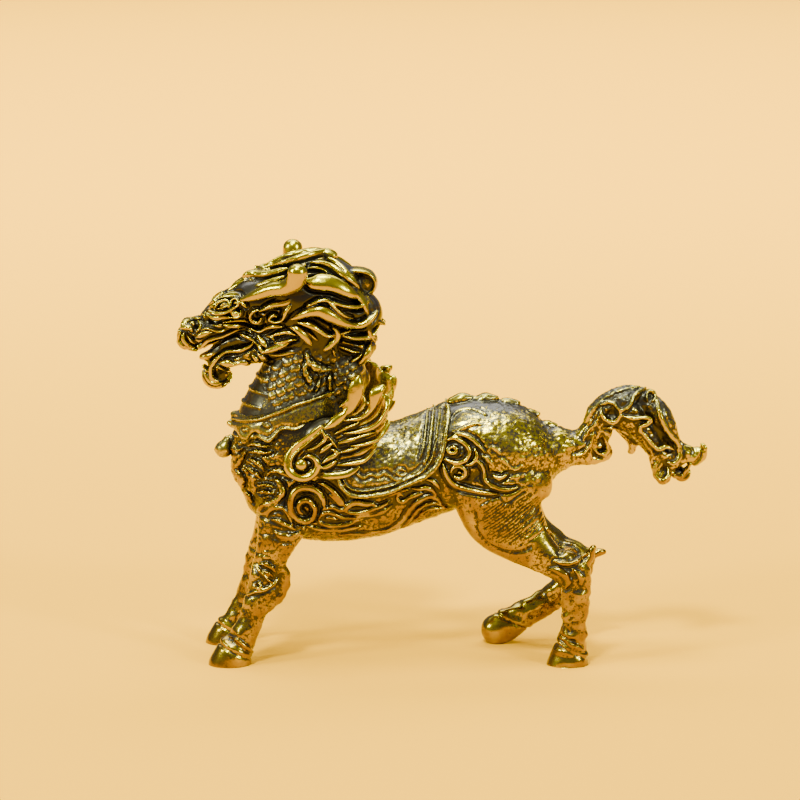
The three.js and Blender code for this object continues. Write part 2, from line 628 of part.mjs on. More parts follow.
function dorsalLobes() {
  return DORSAL_LOBES.map(([x, z, half]) => {
    const stations = [
      [x - half, 0, z - 0.3, 0.6, 0.7],
      [x, 0, z + 0.1, 0.75, 0.8],
      [x + half, 0, z + 0.1, 0.35, 0.4],
    ];
    return sweep(stations, STRAND);
  });
}

function saddle(depthAt) {
  const cord = { path: SADDLE_EDGE, width: SADDLE_CORD };
  return [
    cloth(TRUNK, [...SADDLE_EDGE, ...SADDLE_TOP]),
    bothSides((side) => [
      strand(cord, side, depthAt, CLOTH_RISE, LONG_STRAND, TAPER.cord),
      SADDLE_RIBS.map((path) => strand({ path, width: 0.3 }, side, depthAt, CLOTH_RISE, STRAND)),
    ]),
  ];
}

function carving(depthAt) {
  const spirals = BODY_SPIRALS.map((spiral) => ({ path: spiralPath(spiral), width: spiral.width }));
  return bothSides((side) => [
    BODY_STRANDS.map((piece) => strand(piece, side, depthAt, CARVING_RISE, STRAND)),
    spirals.map((piece) => strand(piece, side, depthAt, CARVING_RISE, SPIRAL_STRAND, TAPER.spiral)),
  ]);
}

function hair(depthAt) {
  return bothSides((side) => [
    MANE_LOCKS.map((lock) => {
      const detail = lock.path.length > 4 ? LONG_STRAND : STRAND;
      return strand(lock, side, depthAt, LOCK_RISE, detail);
    }),
    FACE_STRANDS.map((piece) => strand(piece, side, depthAt, CARVING_RISE, STRAND)),
    sweep(mirrored(EAR, side, RIGHT_EAR_FORWARD), { ...LIMB, sides: 6, rings: 8 }),
  ]);
}

function tail() {
  const whole = sweep(TAIL_PATH, TAIL);
  const depthAt = surfaceFinder(whole);
  const hollows = bothSides((side) => {
    const onSurface = (x, z) => side * (depthAt(x, z, side) + 0.2);
    return sweep(TAIL_HOLLOW.map(([x, z, length, width]) => [x, onSurface(x, z), z, width, length]), LIMB);
  });
  const core = whole.subtract(join(hollows));
  const spiral = { path: spiralPath(TAIL_SPIRAL), width: TAIL_SPIRAL.width };
  return [
    core,
    TAIL_LOCKS.map((stations) => sweep(stations, STRAND)),
    bothSides((side) => [
      TAIL_STRANDS.map((piece) => strand(piece, side, depthAt, CARVING_RISE, STRAND)),
      strand(spiral, side, depthAt, CARVING_RISE, SPIRAL_STRAND, TAPER.spiral),
    ]),
  ];
}

function horse() {
  const body = join([sweep(TRUNK, MASS), sweep(NECK, MASS), headMasses(), legs()]);
  const depthAt = surfaceFinder(body);
  const whole = join([
    body,
    tail(),
    saddle(depthAt),
    cloth(NECK, BREAST_CLOTH),
    ball(BELL.at, BELL.radius),
    ball(BELL_LOOP.at, BELL_LOOP.radius),
    throatPlates(),
    dorsalLobes(),
    carving(depthAt),
    hair(depthAt),
    sweep(NAPE_CURL, LIMB),
    bothSides((side) => BACK_LOCKS.map((lock) => sweep(mirrored(lock, side), STRAND))),
    bothSides(wing),
  ]);
  const ground = solidOf(new THREE.BoxGeometry(120, 60, 20).translate(0, 0, -10));
  return whole.subtract(ground);
}

// A closed skin of facets whose corners can be merged one by one.
class Skin {
  constructor(geometry) {
    const { position } = geometry.attributes;
    const cornerAt = (_, i) => new THREE.Vector3().fromBufferAttribute(position, i);
    this.corners = Array.from({ length: position.count }, cornerAt);
    this.facets = [];
    this.around = this.corners.map(() => new Set());
    for (let i = 0; i < geometry.index.count; i += 3) {
      const facet = [0, 1, 2].map((k) => geometry.index.getX(i + k));
      facet.forEach((corner) => this.around[corner].add(this.facets.length));
      this.facets.push(facet);
    }
    this.count = this.facets.length;
    this.planes = this.corners.map((_, corner) => this.planesAround(corner));
  }

  // The facet's unit normal, its area and its height over its longest edge.
  measure(facet) {
    const [a, b, c] = facet.map((corner) => this.corners[corner]);
    const edges = [b.clone().sub(a), c.clone().sub(b), a.clone().sub(c)];
    const normal = edges[0].clone().cross(edges[1]);
    const area = normal.length() / 2;
    const longest = Math.max(...edges.map((edge) => edge.length()));
    return { normal: normal.normalize(), area, height: longest > 0 ? (2 * area) / longest : 0, point: a };
  }

  planesAround(corner) {
    return [...this.around[corner]].map((f) => {
      const { normal, area, point } = this.measure(this.facets[f]);
      return { normal, area, offset: normal.dot(point) };
    });
  }

  // The typical distance from `place` to the planes that meet at a corner.
  misfit(corner, place) {
    let sum = 0;
    let weight = 1e-9;
    for (const { normal, area, offset } of this.planes[corner]) {
      sum += area * (normal.dot(place) - offset) ** 2;
      weight += area;
    }
    return Math.sqrt(sum / weight);
  }

  neighbours(corner) {
    const found = new Set([...this.around[corner]].flatMap((f) => this.facets[f]));
    found.delete(corner);
    return found;
  }

  // Whether `from` can be merged into `to` with the skin still closed and nothing folded over.
  canMerge(from, to) {
    const near = this.neighbours(to);
    const shared = [...this.neighbours(from)].filter((corner) => near.has(corner));
    if (shared.length !== 2) return false;
    const fan = [...this.around[from]].map((f) => this.facets[f]);
    const sound = fan.map((facet) => this.measure(facet)).filter(({ height }) => height > SLIVER);
    return fan.every((facet) => {
      if (facet.includes(to)) return true;
      const before = this.measure(facet);
      const after = this.measure(facet.map((corner) => (corner === from ? to : corner)));
      if (after.height < SLIVER && after.height < before.height) return false;
      if (before.height > SLIVER) return after.normal.dot(before.normal) > LARGEST_TILT;
      return sound.some(({ normal }) => after.normal.dot(normal) > LARGEST_TILT);
    });
  }

  merge(from, to) {
    for (const f of [...this.around[from]]) {
      const facet = this.facets[f];
      if (facet.includes(to)) {
        facet.forEach((corner) => this.around[corner].delete(f));
        this.facets[f] = null;
        this.count--;
      } else {
        this.facets[f] = facet.map((corner) => (corner === from ? to : corner));
        this.around[to].add(f);
      }
    }
    this.around[from].clear();
    this.planes[to] = [...this.planes[to], ...this.planes[from]];
  }

  // Merges each corner into the neighbour that changes the surface least, within `tolerance`.
  thin(limit, tolerance) {
    for (let corner = 0; corner < this.corners.length && this.count > limit; corner++) {
      if (!this.around[corner].size) continue;
      const choices = [...this.neighbours(corner)]
        .map((to) => ({ to, misfit: this.misfit(corner, this.corners[to]) }))
        .filter(({ misfit }) => misfit < tolerance)
        .sort((a, b) => a.misfit - b.misfit);
      const choice = choices.find(({ to }) => this.canMerge(corner, to));
      if (choice) this.merge(corner, choice.to);
    }
  }

  geometry() {
    const coordinates = this.corners.flatMap((corner) => corner.toArray());
    const geometry = new THREE.BufferGeometry();
    geometry.setAttribute("position", new THREE.Float32BufferAttribute(coordinates, 3));
    geometry.setIndex(this.facets.filter(Boolean).flat());
    return mergeVertices(geometry, 1e-5);
  }
}

function thinned(solid) {
  const facets = new Skin(geometryOf(solid));
  for (const step of THINNING_STEPS) facets.thin(FACET_LIMIT, step);
  return geometryOf(solidOf(facets.geometry()));
}

const figurine = new THREE.Group();
const casting = new THREE.Mesh(thinned(horse()), BRASS);
casting.name = "dragon_horse";
casting.scale.setScalar(SCALE);
figurine.add(casting);

export default figurine;
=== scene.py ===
"""The looks of a small cast brass dragon-horse with an antique finish.

The casting is carved again from the stations of the CAD solid, much finer, and stands exactly
where the solid stands. Stations and ribbons are in millimetres, as in the CAD source, and every
finished piece is in metres. The head looks along -X and the animal's left side faces -Y.
"""

import logging
import math
from dataclasses import dataclass
from enum import Enum
from typing import Callable, Sequence

import bpy
import numpy as np
import openvdb
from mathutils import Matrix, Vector
from mathutils.bvhtree import BVHTree
from mathutils.geometry import tessellate_polygon

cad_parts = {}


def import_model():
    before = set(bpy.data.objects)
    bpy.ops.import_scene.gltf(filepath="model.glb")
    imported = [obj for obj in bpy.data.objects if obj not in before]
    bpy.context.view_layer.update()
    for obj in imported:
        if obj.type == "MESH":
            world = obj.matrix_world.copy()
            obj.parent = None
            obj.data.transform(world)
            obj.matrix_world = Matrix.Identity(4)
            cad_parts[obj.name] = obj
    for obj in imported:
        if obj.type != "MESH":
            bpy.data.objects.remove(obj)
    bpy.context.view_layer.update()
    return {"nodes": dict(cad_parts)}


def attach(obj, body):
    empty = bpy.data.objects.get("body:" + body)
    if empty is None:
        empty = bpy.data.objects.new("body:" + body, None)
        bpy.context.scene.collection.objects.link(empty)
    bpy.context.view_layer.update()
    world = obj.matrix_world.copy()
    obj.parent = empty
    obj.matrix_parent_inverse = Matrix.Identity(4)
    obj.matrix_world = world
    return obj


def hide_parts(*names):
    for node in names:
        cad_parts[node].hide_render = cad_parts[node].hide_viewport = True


log = logging.getLogger("dragon_horse")

MM = 0.001
CASTING_NODE = "dragon_horse"
BODY_NAME = "root"

Array = np.ndarray
Stations = Sequence[Sequence[float]]
Path = Sequence[tuple[float, float]]
Spot = tuple[float, float, float]
Lump = tuple[Spot, Spot]
Colour = tuple[float, float, float, float]

TINY = 1e-9
MIRROR = np.array([1, -1, 1])
SIDEWAYS = np.array([[0.0, 1.0, 0.0]])
UPWARDS = np.array([[0.0, 0.0, 1.0]])


class Side(Enum):
    """The two sides of the animal, as the sign of y."""

    LEFT = -1
    RIGHT = 1


class Tool(Enum):
    """The modifiers that work a mesh."""

    REMESH = "REMESH"
    THIN = "DECIMATE"
    CUT = "BOOLEAN"


def curve_through(points: Array, shares: Array) -> Array:
    """Follows a Catmull-Rom curve, as three.js draws it.

    Args:
        points: the points that the curve goes through, one a row.
        shares: where to read the curve, from 0 to 1.

    Returns:
        One row for each share.
    """
    padded = np.vstack([2 * points[0] - points[1], points, 2 * points[-1] - points[-2]])
    place = shares * (len(points) - 1)
    first = np.clip(np.floor(place).astype(int), 0, len(points) - 2)
    t = (place - first)[:, None]
    a, b, c, d = (padded[first + k] for k in range(4))
    lean_in = 0.5 * (c - a)
    lean_out = 0.5 * (d - b)
    cubic = 2 * b - 2 * c + lean_in + lean_out
    square = -3 * b + 3 * c - 2 * lean_in - lean_out
    return cubic * t**3 + square * t**2 + lean_in * t + b


def unit(rows: Array) -> Array:
    """Scales each row to length 1."""
    return rows / np.maximum(np.linalg.norm(rows, axis=1, keepdims=True), TINY)


def flat_path(path: Path, step: float) -> Array:
    """Reads a side-view path at about every `step` millimetres along its curve.

    Args:
        path: the [x, z] points that the curve goes through.
        step: about how far apart the points that are read lie.

    Returns:
        The points along the curve.
    """
    corners = np.array(path, float)
    length = np.linalg.norm(np.diff(corners, axis=0), axis=1).sum()
    count = max(6, int(math.ceil(length / step)) + 1)
    return curve_through(corners, np.linspace(0, 1, count))


def distance_to(points: Array, path: Path, reach: float) -> Array:
    """Measures how far points are from a path in side view.

    Args:
        points: points in space, one a row.
        path: the path, as [x, z] points.
        reach: how far from the path it matters.

    Returns:
        The distance of each point, or twice the reach where it is further away than that.
    """
    line = flat_path(path, 0.3)
    found = np.full(len(points), 2.0 * reach)
    spot = points[:, [0, 2]]
    low, high = line.min(0) - reach, line.max(0) + reach
    near = np.flatnonzero(((spot > low) & (spot < high)).all(1))
    if not len(near):
        return found
    close = spot[near]
    best = np.full(len(near), 2.0 * reach)
    for start, end in zip(line[:-1], line[1:]):
        along = end - start
        share = np.clip((close - start) @ along / max(along @ along, TINY), 0, 1)
        away = np.linalg.norm(close - start - share[:, None] * along, axis=1)
        best = np.minimum(best, away)
    found[near] = best
    return found


def inside(points: Array, outline: Path, soft: float) -> Array:
    """Says how far points are inside an outline in side view, from 0 outside to 1 inside.

    Args:
        points: points in space, one a row.
        outline: the corners, as [x, z] points.
        soft: the width of the change along the border.

    Returns:
        One share for each point.
    """
    x, z = points[:, 0], points[:, 2]
    corners = np.array(outline, float)
    crossed = np.zeros(len(points), bool)
    border = np.full(len(points), np.inf)
    for start, end in zip(corners, np.roll(corners, -1, 0)):
        along = end - start
        between = (start[1] > z) != (end[1] > z)
        slope = along[0] / along[1] if along[1] else 0.0
        crossed ^= between & (x < start[0] + slope * (z - start[1]))
        share = np.clip(((x - start[0]) * along[0] + (z - start[1]) * along[1]) / (along @ along), 0, 1)
        away = np.hypot(x - start[0] - share * along[0], z - start[1] - share * along[1])
        border = np.minimum(border, away)
    signed = np.where(crossed, border, -border)
    return ramp(signed, -soft / 2, soft / 2)


def ramp(values: Array, low: float, high: float) -> Array:
    """A smooth step from 0 at `low` to 1 at `high`."""
    share = np.clip((values - low) / (high - low), 0, 1)
    return share * share * (3 - 2 * share)


def bump(values: Array) -> Array:
    """A soft bump of height 1 that ends at -1 and 1."""
    return np.clip(1 - values * values, 0, 1) ** 1.5


@dataclass(frozen=True)
class Grain:
    """Smooth seeded noise in space."""

    size: float
    seed: int = 1
    cells: int = 32

    def at(self, points: Array) -> Array:
        """Reads the noise, from -1 to 1, at each point.

        Args:
            points: where to read, in millimetres, one a row.

        Returns:
            One value for each point.
        """
        table = np.random.default_rng(self.seed).uniform(-1, 1, (self.cells,) * 3)
        place = points / self.size
        low = np.floor(place).astype(int)
        part = place - low
        part = part * part * (3 - 2 * part)
        total = np.zeros(len(points))
        for corner in np.ndindex(2, 2, 2):
            weight = np.prod(np.where(corner, part, 1 - part), axis=1)
            total += weight * table[tuple(((low + corner) % self.cells).T)]
        return total


@dataclass(frozen=True)
class Pebbles:
    """Rounded lumps packed side by side, with narrow gaps between them."""

    size: float
    seed: int = 2
    cells: int = 64

    def at(self, points: Array) -> Array:
        """Gives the height at each point, from 0 in a gap to 1 on a lump.

        Args:
            points: where to read, in millimetres, one a row.

        Returns:
            One value for each point.
        """
        table = np.random.default_rng(self.seed).uniform(0.1, 0.9, (self.cells, self.cells, self.cells, 3))
        place = points / self.size
        low = np.floor(place).astype(int)
        nearest = np.full(len(points), 9.0)
        second = np.full(len(points), 9.0)
        for step in np.ndindex(3, 3, 3):
            cell = low + step - 1
            centre = cell + table[tuple((cell % self.cells).T)]
            away = ((place - centre) ** 2).sum(1)
            second = np.minimum(second, np.maximum(nearest, away))
            nearest = np.minimum(nearest, away)
        return ramp(np.sqrt(second) - np.sqrt(nearest), 0.0, 0.45)


@dataclass
class Clay:
    """A closed skin of triangles, in millimetres."""

    SOFTENING = 0.55
    SWELLING = 0.5

    points: Array
    triangles: Array

    @staticmethod
    def joined(lumps: Sequence["Clay"]) -> "Clay":
        """Puts several skins together as one.

        Args:
            lumps: the skins.

        Returns:
            One skin that holds them all.
        """
        starts = np.cumsum([0] + [len(lump.points) for lump in lumps[:-1]])
        return Clay(
            np.vstack([lump.points for lump in lumps]),
            np.vstack([lump.triangles + start for lump, start in zip(lumps, starts)]),
        )

    def mesh(self, name: str, scale: float = 1.0) -> bpy.types.Mesh:
        """Turns the skin into a Blender mesh.

        Args:
            name: the mesh's name.
            scale: what the coordinates are multiplied by.

        Returns:
            The new mesh.
        """
        made = bpy.data.meshes.new(name)
        made.vertices.add(len(self.points))
        made.vertices.foreach_set("co", (self.points * scale).astype(np.float32).ravel())
        made.loops.add(self.triangles.size)
        made.loops.foreach_set("vertex_index", self.triangles.astype(np.int32).ravel())
        made.polygons.add(len(self.triangles))
        made.polygons.foreach_set("loop_start", np.arange(0, self.triangles.size, 3, dtype=np.int32))
        made.update(calc_edges=True)
        return made

    def worked(self, tool: Tool, other: "Clay | None" = None, **settings: object) -> "Clay":
        """Runs one modifier over the skin.

        Args:
            tool: which modifier.
            other: the skin that a cut is made with.
            **settings: the modifier's own settings.

        Returns:
            The skin that comes out.
        """
        work = bpy.data.objects.new("work", self.mesh("work"))
        bpy.context.scene.collection.objects.link(work)
        modifier = work.modifiers.new("work", tool.value)
        for name, value in settings.items():
            setattr(modifier, name, value)
        knife = None
        if other is not None:
            knife = bpy.data.objects.new("knife", other.mesh("knife"))
            bpy.context.scene.collection.objects.link(knife)
            modifier.object = knife
        shaped = work.evaluated_get(bpy.context.evaluated_depsgraph_get())
        mesh = shaped.to_mesh()
        mesh.calc_loop_triangles()
        points = np.empty(len(mesh.vertices) * 3, np.float32)
        mesh.vertices.foreach_get("co", points)
        triangles = np.empty(len(mesh.loop_triangles) * 3, np.int32)
        mesh.loop_triangles.foreach_get("vertices", triangles)
        shaped.to_mesh_clear()
        for used in filter(None, (work, knife)):
            old = used.data
            bpy.data.objects.remove(used)
            bpy.data.meshes.remove(old)
        return Clay(points.reshape(-1, 3).astype(float), triangles.reshape(-1, 3))

    def fused(self, pitch: float) -> "Clay":
        """Melts overlapping skins into one, with corners about `pitch` apart."""
        return self.worked(Tool.REMESH, mode="VOXEL", voxel_size=pitch)

    def thinned(self, limit: int) -> "Clay":
        """Merges the flattest triangles until `limit` are left.

        Args:
            limit: the most triangles that stay.

        Returns:
            The thinner skin, or this one where it is within the limit.
        """
        if len(self.triangles) <= limit:
            return self
        return self.worked(Tool.THIN, ratio=limit / len(self.triangles))

    def kept_inside(self, outline: Path) -> "Clay":
        """Cuts away what is outside an outline in side view."""
        cutter = slab(outline, CUTTER_DEPTH)
        return self.worked(Tool.CUT, cutter, operation="INTERSECT", solver="EXACT")

    def neighbours(self) -> tuple[Array, Array]:
        """Gives both ends of each edge, once each way."""
        ends = np.vstack([self.triangles[:, [0, 1]], self.triangles[:, [1, 2]], self.triangles[:, [2, 0]]])
        return ends[:, 0], ends[:, 1]

    def averaged(self, values: Array, times: int) -> Array:
        """Replaces each row by the mean of its neighbours' rows, a number of times.

        Args:
            values: one row for each corner.
            times: how often.

        Returns:
            The averaged rows.
        """
        start, end = self.neighbours()
        count = np.maximum(np.bincount(start, minlength=len(self.points)), 1)
        for _ in range(times):
            columns = [np.bincount(start, column[end], len(self.points)) / count for column in values.T]
            values = np.stack(columns, 1)
        return values

    def smoothed(self, times: int) -> "Clay":
        """Softens the skin, and swells it back so that it keeps its size.

        Args:
            times: how often.

        Returns:
            The softer skin.
        """
        points = self.points
        for _ in range(times):
            softer = self.averaged(points, 1)
            points = points + self.SOFTENING * (softer - points)
            back = self.averaged(points, 1)
            points = points - self.SWELLING * (back - points)
        return Clay(points, self.triangles)

    def normals(self) -> Array:
        """Gives the outward direction at each corner.

        Returns:
            One direction of length 1 for each corner.
        """
        a, b, c = (self.points[self.triangles[:, k]] for k in range(3))
        face = np.cross(b - a, c - a)
        total = np.zeros_like(self.points)
        for k in range(3):
            for axis in range(3):
                total[:, axis] += np.bincount(self.triangles[:, k], face[:, axis], len(self.points))
        return unit(total)

    def pushed(self, amount: Array) -> "Clay":
        """Moves each corner outwards by its own amount."""
        return Clay(self.points + self.normals() * amount[:, None], self.triangles)


FEWEST_RINGS = 8
FEWEST_SIDES = 8
MOST_SIDES = 72
THINNEST = 0.02
DOME_STEPS = 5
CUTTER_DEPTH = 12.0


def sweep(stations: Stations, facing: Array = SIDEWAYS, crest: float = 2.0, fine: float = 0.3) -> Clay:
    """Builds a closed form along a smooth path, with a dome at each end.

    Args:
        stations: rows of x, y, z, half size across, half size aside.
        facing: the aside direction, one for all or one a station.
        crest: the section's roundness, 2 for an ellipse and 1 for a diamond.
        fine: about how far apart the corners are.

    Returns:
        The skin.
    """
    rows = np.array(stations, float)
    length = np.linalg.norm(np.diff(rows[:, :3], axis=0), axis=1).sum()
    rings = max(FEWEST_RINGS, int(length / fine))
    sides = int(np.clip(2 * math.pi * rows[:, 3:].max() / fine, FEWEST_SIDES, MOST_SIDES))
    t = np.linspace(0, 1, rings + 1)
    read = curve_through(rows, t)
    centre, size = read[:, :3], np.maximum(read[:, 3:], THINNEST)
    tangent = unit(np.gradient(centre, axis=0))
    aside = facing if len(facing) == 1 else curve_through(facing, t)
    aside = np.broadcast_to(aside, centre.shape)
    aside = unit(aside - tangent * (aside * tangent).sum(1, keepdims=True))
    across = np.cross(aside, tangent)
    bend = np.linspace(0, np.pi / 2, DOME_STEPS)[1:-1]
    caps_before = [(0, -np.sin(a), np.cos(a)) for a in bend[::-1]]
    caps_after = [(rings, np.sin(a), np.cos(a)) for a in bend]
    slices = caps_before + [(i, 0.0, 1.0) for i in range(rings + 1)] + caps_after
    index, out, shrink = (np.array(column) for column in zip(*slices))
    index = index.astype(int)
    middle = centre[index] + tangent[index] * (out * size[index].min(1))[:, None]
    angle = np.linspace(0, 2 * np.pi, sides, endpoint=False)
    power = 2.0 / crest
    c = np.sign(np.cos(angle)) * np.abs(np.cos(angle)) ** power
    s = np.sign(np.sin(angle)) * np.abs(np.sin(angle)) ** power
    wide = across[index] * (size[index, 0] * shrink)[:, None]
    deep = aside[index] * (size[index, 1] * shrink)[:, None]
    ring = middle[:, None] + wide[:, None] * c[None, :, None] + deep[:, None] * s[None, :, None]
    poles = np.stack([
        centre[0] - tangent[0] * size[0].min(),
        centre[-1] + tangent[-1] * size[-1].min(),
    ])
    points = np.vstack([ring.reshape(-1, 3), poles])
    j = np.arange(sides)
    following = (j + 1) % sides
    triangles = []
    for i in range(len(slices) - 1):
        a, b = i * sides + j, i * sides + following
        d, e = a + sides, b + sides
        triangles += [np.stack([a, b, e], 1), np.stack([a, e, d], 1)]
    end = (len(slices) - 1) * sides
    first = np.full(sides, len(slices) * sides)
    triangles.append(np.stack([first, following, j], 1))
    triangles.append(np.stack([first + 1, end + j, end + following], 1))
    return Clay(points, np.vstack(triangles))


def ball(at: Sequence[float], *radii: float) -> Clay:
    """A ball, or an ellipsoid where three radii are given.

    Args:
        at: its middle.
        *radii: one radius, or three, along x, y and z.

    Returns:
        The skin.
    """
    rx, ry, rz = radii if len(radii) == 3 else radii * 3
    x, y, z = at
    stations = []
    for s in (-0.98, -0.9, -0.72, -0.4, 0.0, 0.4, 0.72, 0.9, 0.98):
        round_off = math.sqrt(1 - s * s)
        stations.append([x + rx * s, y, z, rz * round_off, ry * round_off])
    return sweep(stations)


def lump_on(side: Side, lump: Lump) -> Clay:
    """An ellipsoid on one side of the animal."""
    (x, y, z), radii = lump
    return ball((x, side.value * y, z), *radii)


def slab(outline: Path, depth: float) -> Clay:
    """A slab from y = -depth to y = depth with an outline in side view.

    Args:
        outline: the corners, as [x, z] points.
        depth: how far it reaches to each side of the middle.

    Returns:
        The skin.
    """
    corners = np.array(outline, float)
    turn = np.roll(corners, -1, 0) - corners
    area = (corners[:, 0] * turn[:, 1] - corners[:, 1] * turn[:, 0]).sum()
    if area > 0:
        corners = corners[::-1]
    count = len(corners)
    near = np.insert(corners, 1, -depth, axis=1)
    far = np.insert(corners, 1, depth, axis=1)
    fill = tessellate_polygon([[Vector((x, z, 0)) for x, z in corners]])
    walls = []
    for k in range(count):
        after = (k + 1) % count
        walls += [(k, after, count + after), (k, count + after, count + k)]
    caps = [(a, c, b) for a, b, c in fill] + [(a + count, b + count, c + count) for a, b, c in fill]
    return Clay(np.vstack([near, far]), np.array(walls + caps))


def widened(path: Sequence[Spot], times: float) -> list[Spot]:
    """Multiplies a ribbon path's half widths."""
    return [(x, z, times * half) for x, z, half in path]


@dataclass(frozen=True)
class Ribbon:
    """A raised strip with a half width of its own at each point, placed as the camera sees it.

    The path holds [x, z, half width] rows on the upright plane `plane` millimetres to the left of
    the middle, and each point slides along the camera's line of sight to the form behind it.
    """

    path: Sequence[Spot]
    plane: float = 6.0
    top: float = 0.45
    foot: float = 0.65
    crest: float = 2.0
    moat: float = 0.5
    paired: bool = True


@dataclass(frozen=True)
class Laid:
    """A ribbon that has been laid: its skin, and its line on the form with half widths."""

    skin: Clay
    line: Array
    wide: Array
    moat: float


class Surface:
    """Finds where a line of sight meets a form, and lays ribbons there."""

    EYE = (-5.4, -410.8, 120.1)
    PLACE_SOFTENING = 2
    FACING_SOFTENING = 4
    STEP = 0.3
    FEWEST_STEPS = 8
    NARROWEST = 0.03
    LOWERING = 0.6
    FINE = 0.14

    def __init__(self, clay: Clay) -> None:
        """Prepares the search.

        Args:
            clay: the form.
        """
        self.tree = BVHTree.FromPolygons(clay.points.tolist(), clay.triangles.tolist())

    def _nearest(self, points: Array) -> tuple[Array, Array]:
        """Finds the form's nearest places to points, and its outward directions there.

        Args:
            points: points in space, one a row.

        Returns:
            The places and the directions.
        """
        found = [self.tree.find_nearest(Vector(point)) for point in points]
        places = np.array([tuple(place) for place, _, _, _ in found])
        return places, np.array([tuple(normal) for _, normal, _, _ in found])

    def height(self, points: Array) -> Array:
        """Measures how far points stand above the form, negative for those inside."""
        places, facing = self._nearest(points)
        return ((points - places) * facing).sum(1)

    def seen(self, line: Array, plane: float) -> tuple[Array, Array]:
        """Slides points along the camera's lines of sight to the form.

        Args:
            line: [x, z] points on an upright plane.
            plane: how far that plane is to the left of the middle.

        Returns:
            The points on the form, and the outward directions there.
        """
        eye = np.array(self.EYE)
        marks = np.column_stack([line[:, 0], np.full(len(line), -plane), line[:, 1]])
        ways = unit(marks - eye)
        depth = np.full(len(line), np.nan)
        facing = np.tile(-SIDEWAYS, (len(line), 1))
        for k, way in enumerate(ways):
            place, normal, _, away = self.tree.ray_cast(Vector(eye), Vector(way))
            if place is not None:
                depth[k] = away
                facing[k] = normal
        known = np.flatnonzero(~np.isnan(depth))
        if len(known):
            steps = np.arange(len(depth))
            depth = np.interp(steps, known, depth[known])
            facing = np.stack([np.interp(steps, known, column[known]) for column in facing.T], 1)
        else:
            depth = np.linalg.norm(marks - eye, axis=1)
        depth, facing = self._evened(depth[:, None], facing)
        return eye + ways * depth, facing

    def mirrored(self, points: Array) -> tuple[Array, Array]:
        """Finds the points of the form nearest to the mirror image of a line."""
        places, facing = self._nearest(points * MIRROR)
        return self._evened(places, facing)

    def _evened(self, places: Array, facing: Array) -> tuple[Array, Array]:
        """Evens a line and its outward directions out."""
        return softened(places, self.PLACE_SOFTENING), unit(softened(facing, self.FACING_SOFTENING))

    def lay_ribbon(self, ribbon: Ribbon) -> list[Laid]:
        """Lays a ribbon on the left side and, when it is paired, its mirror image on the right.

        Args:
            ribbon: the ribbon.

        Returns:
            The copies.
        """
        corners = np.array(ribbon.path, float)
        length = np.linalg.norm(np.diff(corners[:, :2], axis=0), axis=1).sum()
        steps = max(self.FEWEST_STEPS, int(length / self.STEP))
        rows = curve_through(corners, np.linspace(0, 1, steps))
        wide = np.maximum(rows[:, 2], self.NARROWEST)
        share = np.clip(wide / wide.max(), 0.0, 1.0) ** self.LOWERING
        places = [self.seen(rows[:, :2], ribbon.plane)]
        if ribbon.paired:
            places.append(self.mirrored(places[0][0]))
        made = []
        for points, normals in places:
            lift = 0.5 * (ribbon.top * share - ribbon.foot)
            deep = 0.5 * (ribbon.top * share + ribbon.foot)
            stations = np.column_stack([points + normals * lift[:, None], wide, deep])
            skin = sweep(stations, normals, ribbon.crest, self.FINE)
            made.append(Laid(skin, points, wide, ribbon.moat))
        return made


def softened(rows: Array, times: int) -> Array:
    """Evens rows out along their line, a number of times.

    Args:
        rows: the rows, in their order along the line.
        times: how often.

    Returns:
        The evened rows.
    """
    for _ in range(times):
        padded = np.vstack([rows[:1], rows, rows[-1:]])
        rows = 0.25 * padded[:-2] + 0.5 * padded[1:-1] + 0.25 * padded[2:]
    return rows


class SubAssembly:
    """One part of the animal: its masses, the ribbons on them and the relief in its skin."""

    def masses(self) -> list[Clay]:
        """The big forms."""
        return []

    def ribbons(self) -> list[Ribbon]:
        """Strips that are laid where the camera sees them."""
        return []

    def extras(self, surface: Surface) -> list[Clay]:
        """Forms that have their own place."""
        return []

    def hollows(self, points: Array, normals: Array) -> Array:
        """How far the masses are pushed in before anything is laid on them."""
        return np.zeros(len(points))

    def relief(self, points: Array, normals: Array) -> Array:
        """How far the finished skin is pushed out, in millimetres."""
        return np.zeros(len(points))

    def buried_and_shaded(self, points: Array) -> Array:
        """How dark the ground beside the raised work is, with any painted shadow a member adds, from 0 to 1.
        """
        return np.ones(len(points))

    def tarnish(self, points: Array) -> Array:
        """How grey the brass has gone at each point, from 0 to 1."""
        return np.zeros(len(points))

    def warmth(self, points: Array) -> Array:
        """How much painted shade darkens and browns the brass at each point, from 0 to 1."""
        return np.zeros(len(points))


def outward(normals: Array, points: Array) -> Array:
    """How much a skin faces its own side, from 0 to 1."""
    return ramp(normals[:, 1] * np.sign(points[:, 1]), 0.1, 0.45)


def near_spot(points: Array, at: Sequence[float], radius: float) -> Array:
    """A soft patch of 1 around a point, which ends at the radius."""
    return bump(np.linalg.norm(points - np.array(at), axis=1) / radius)


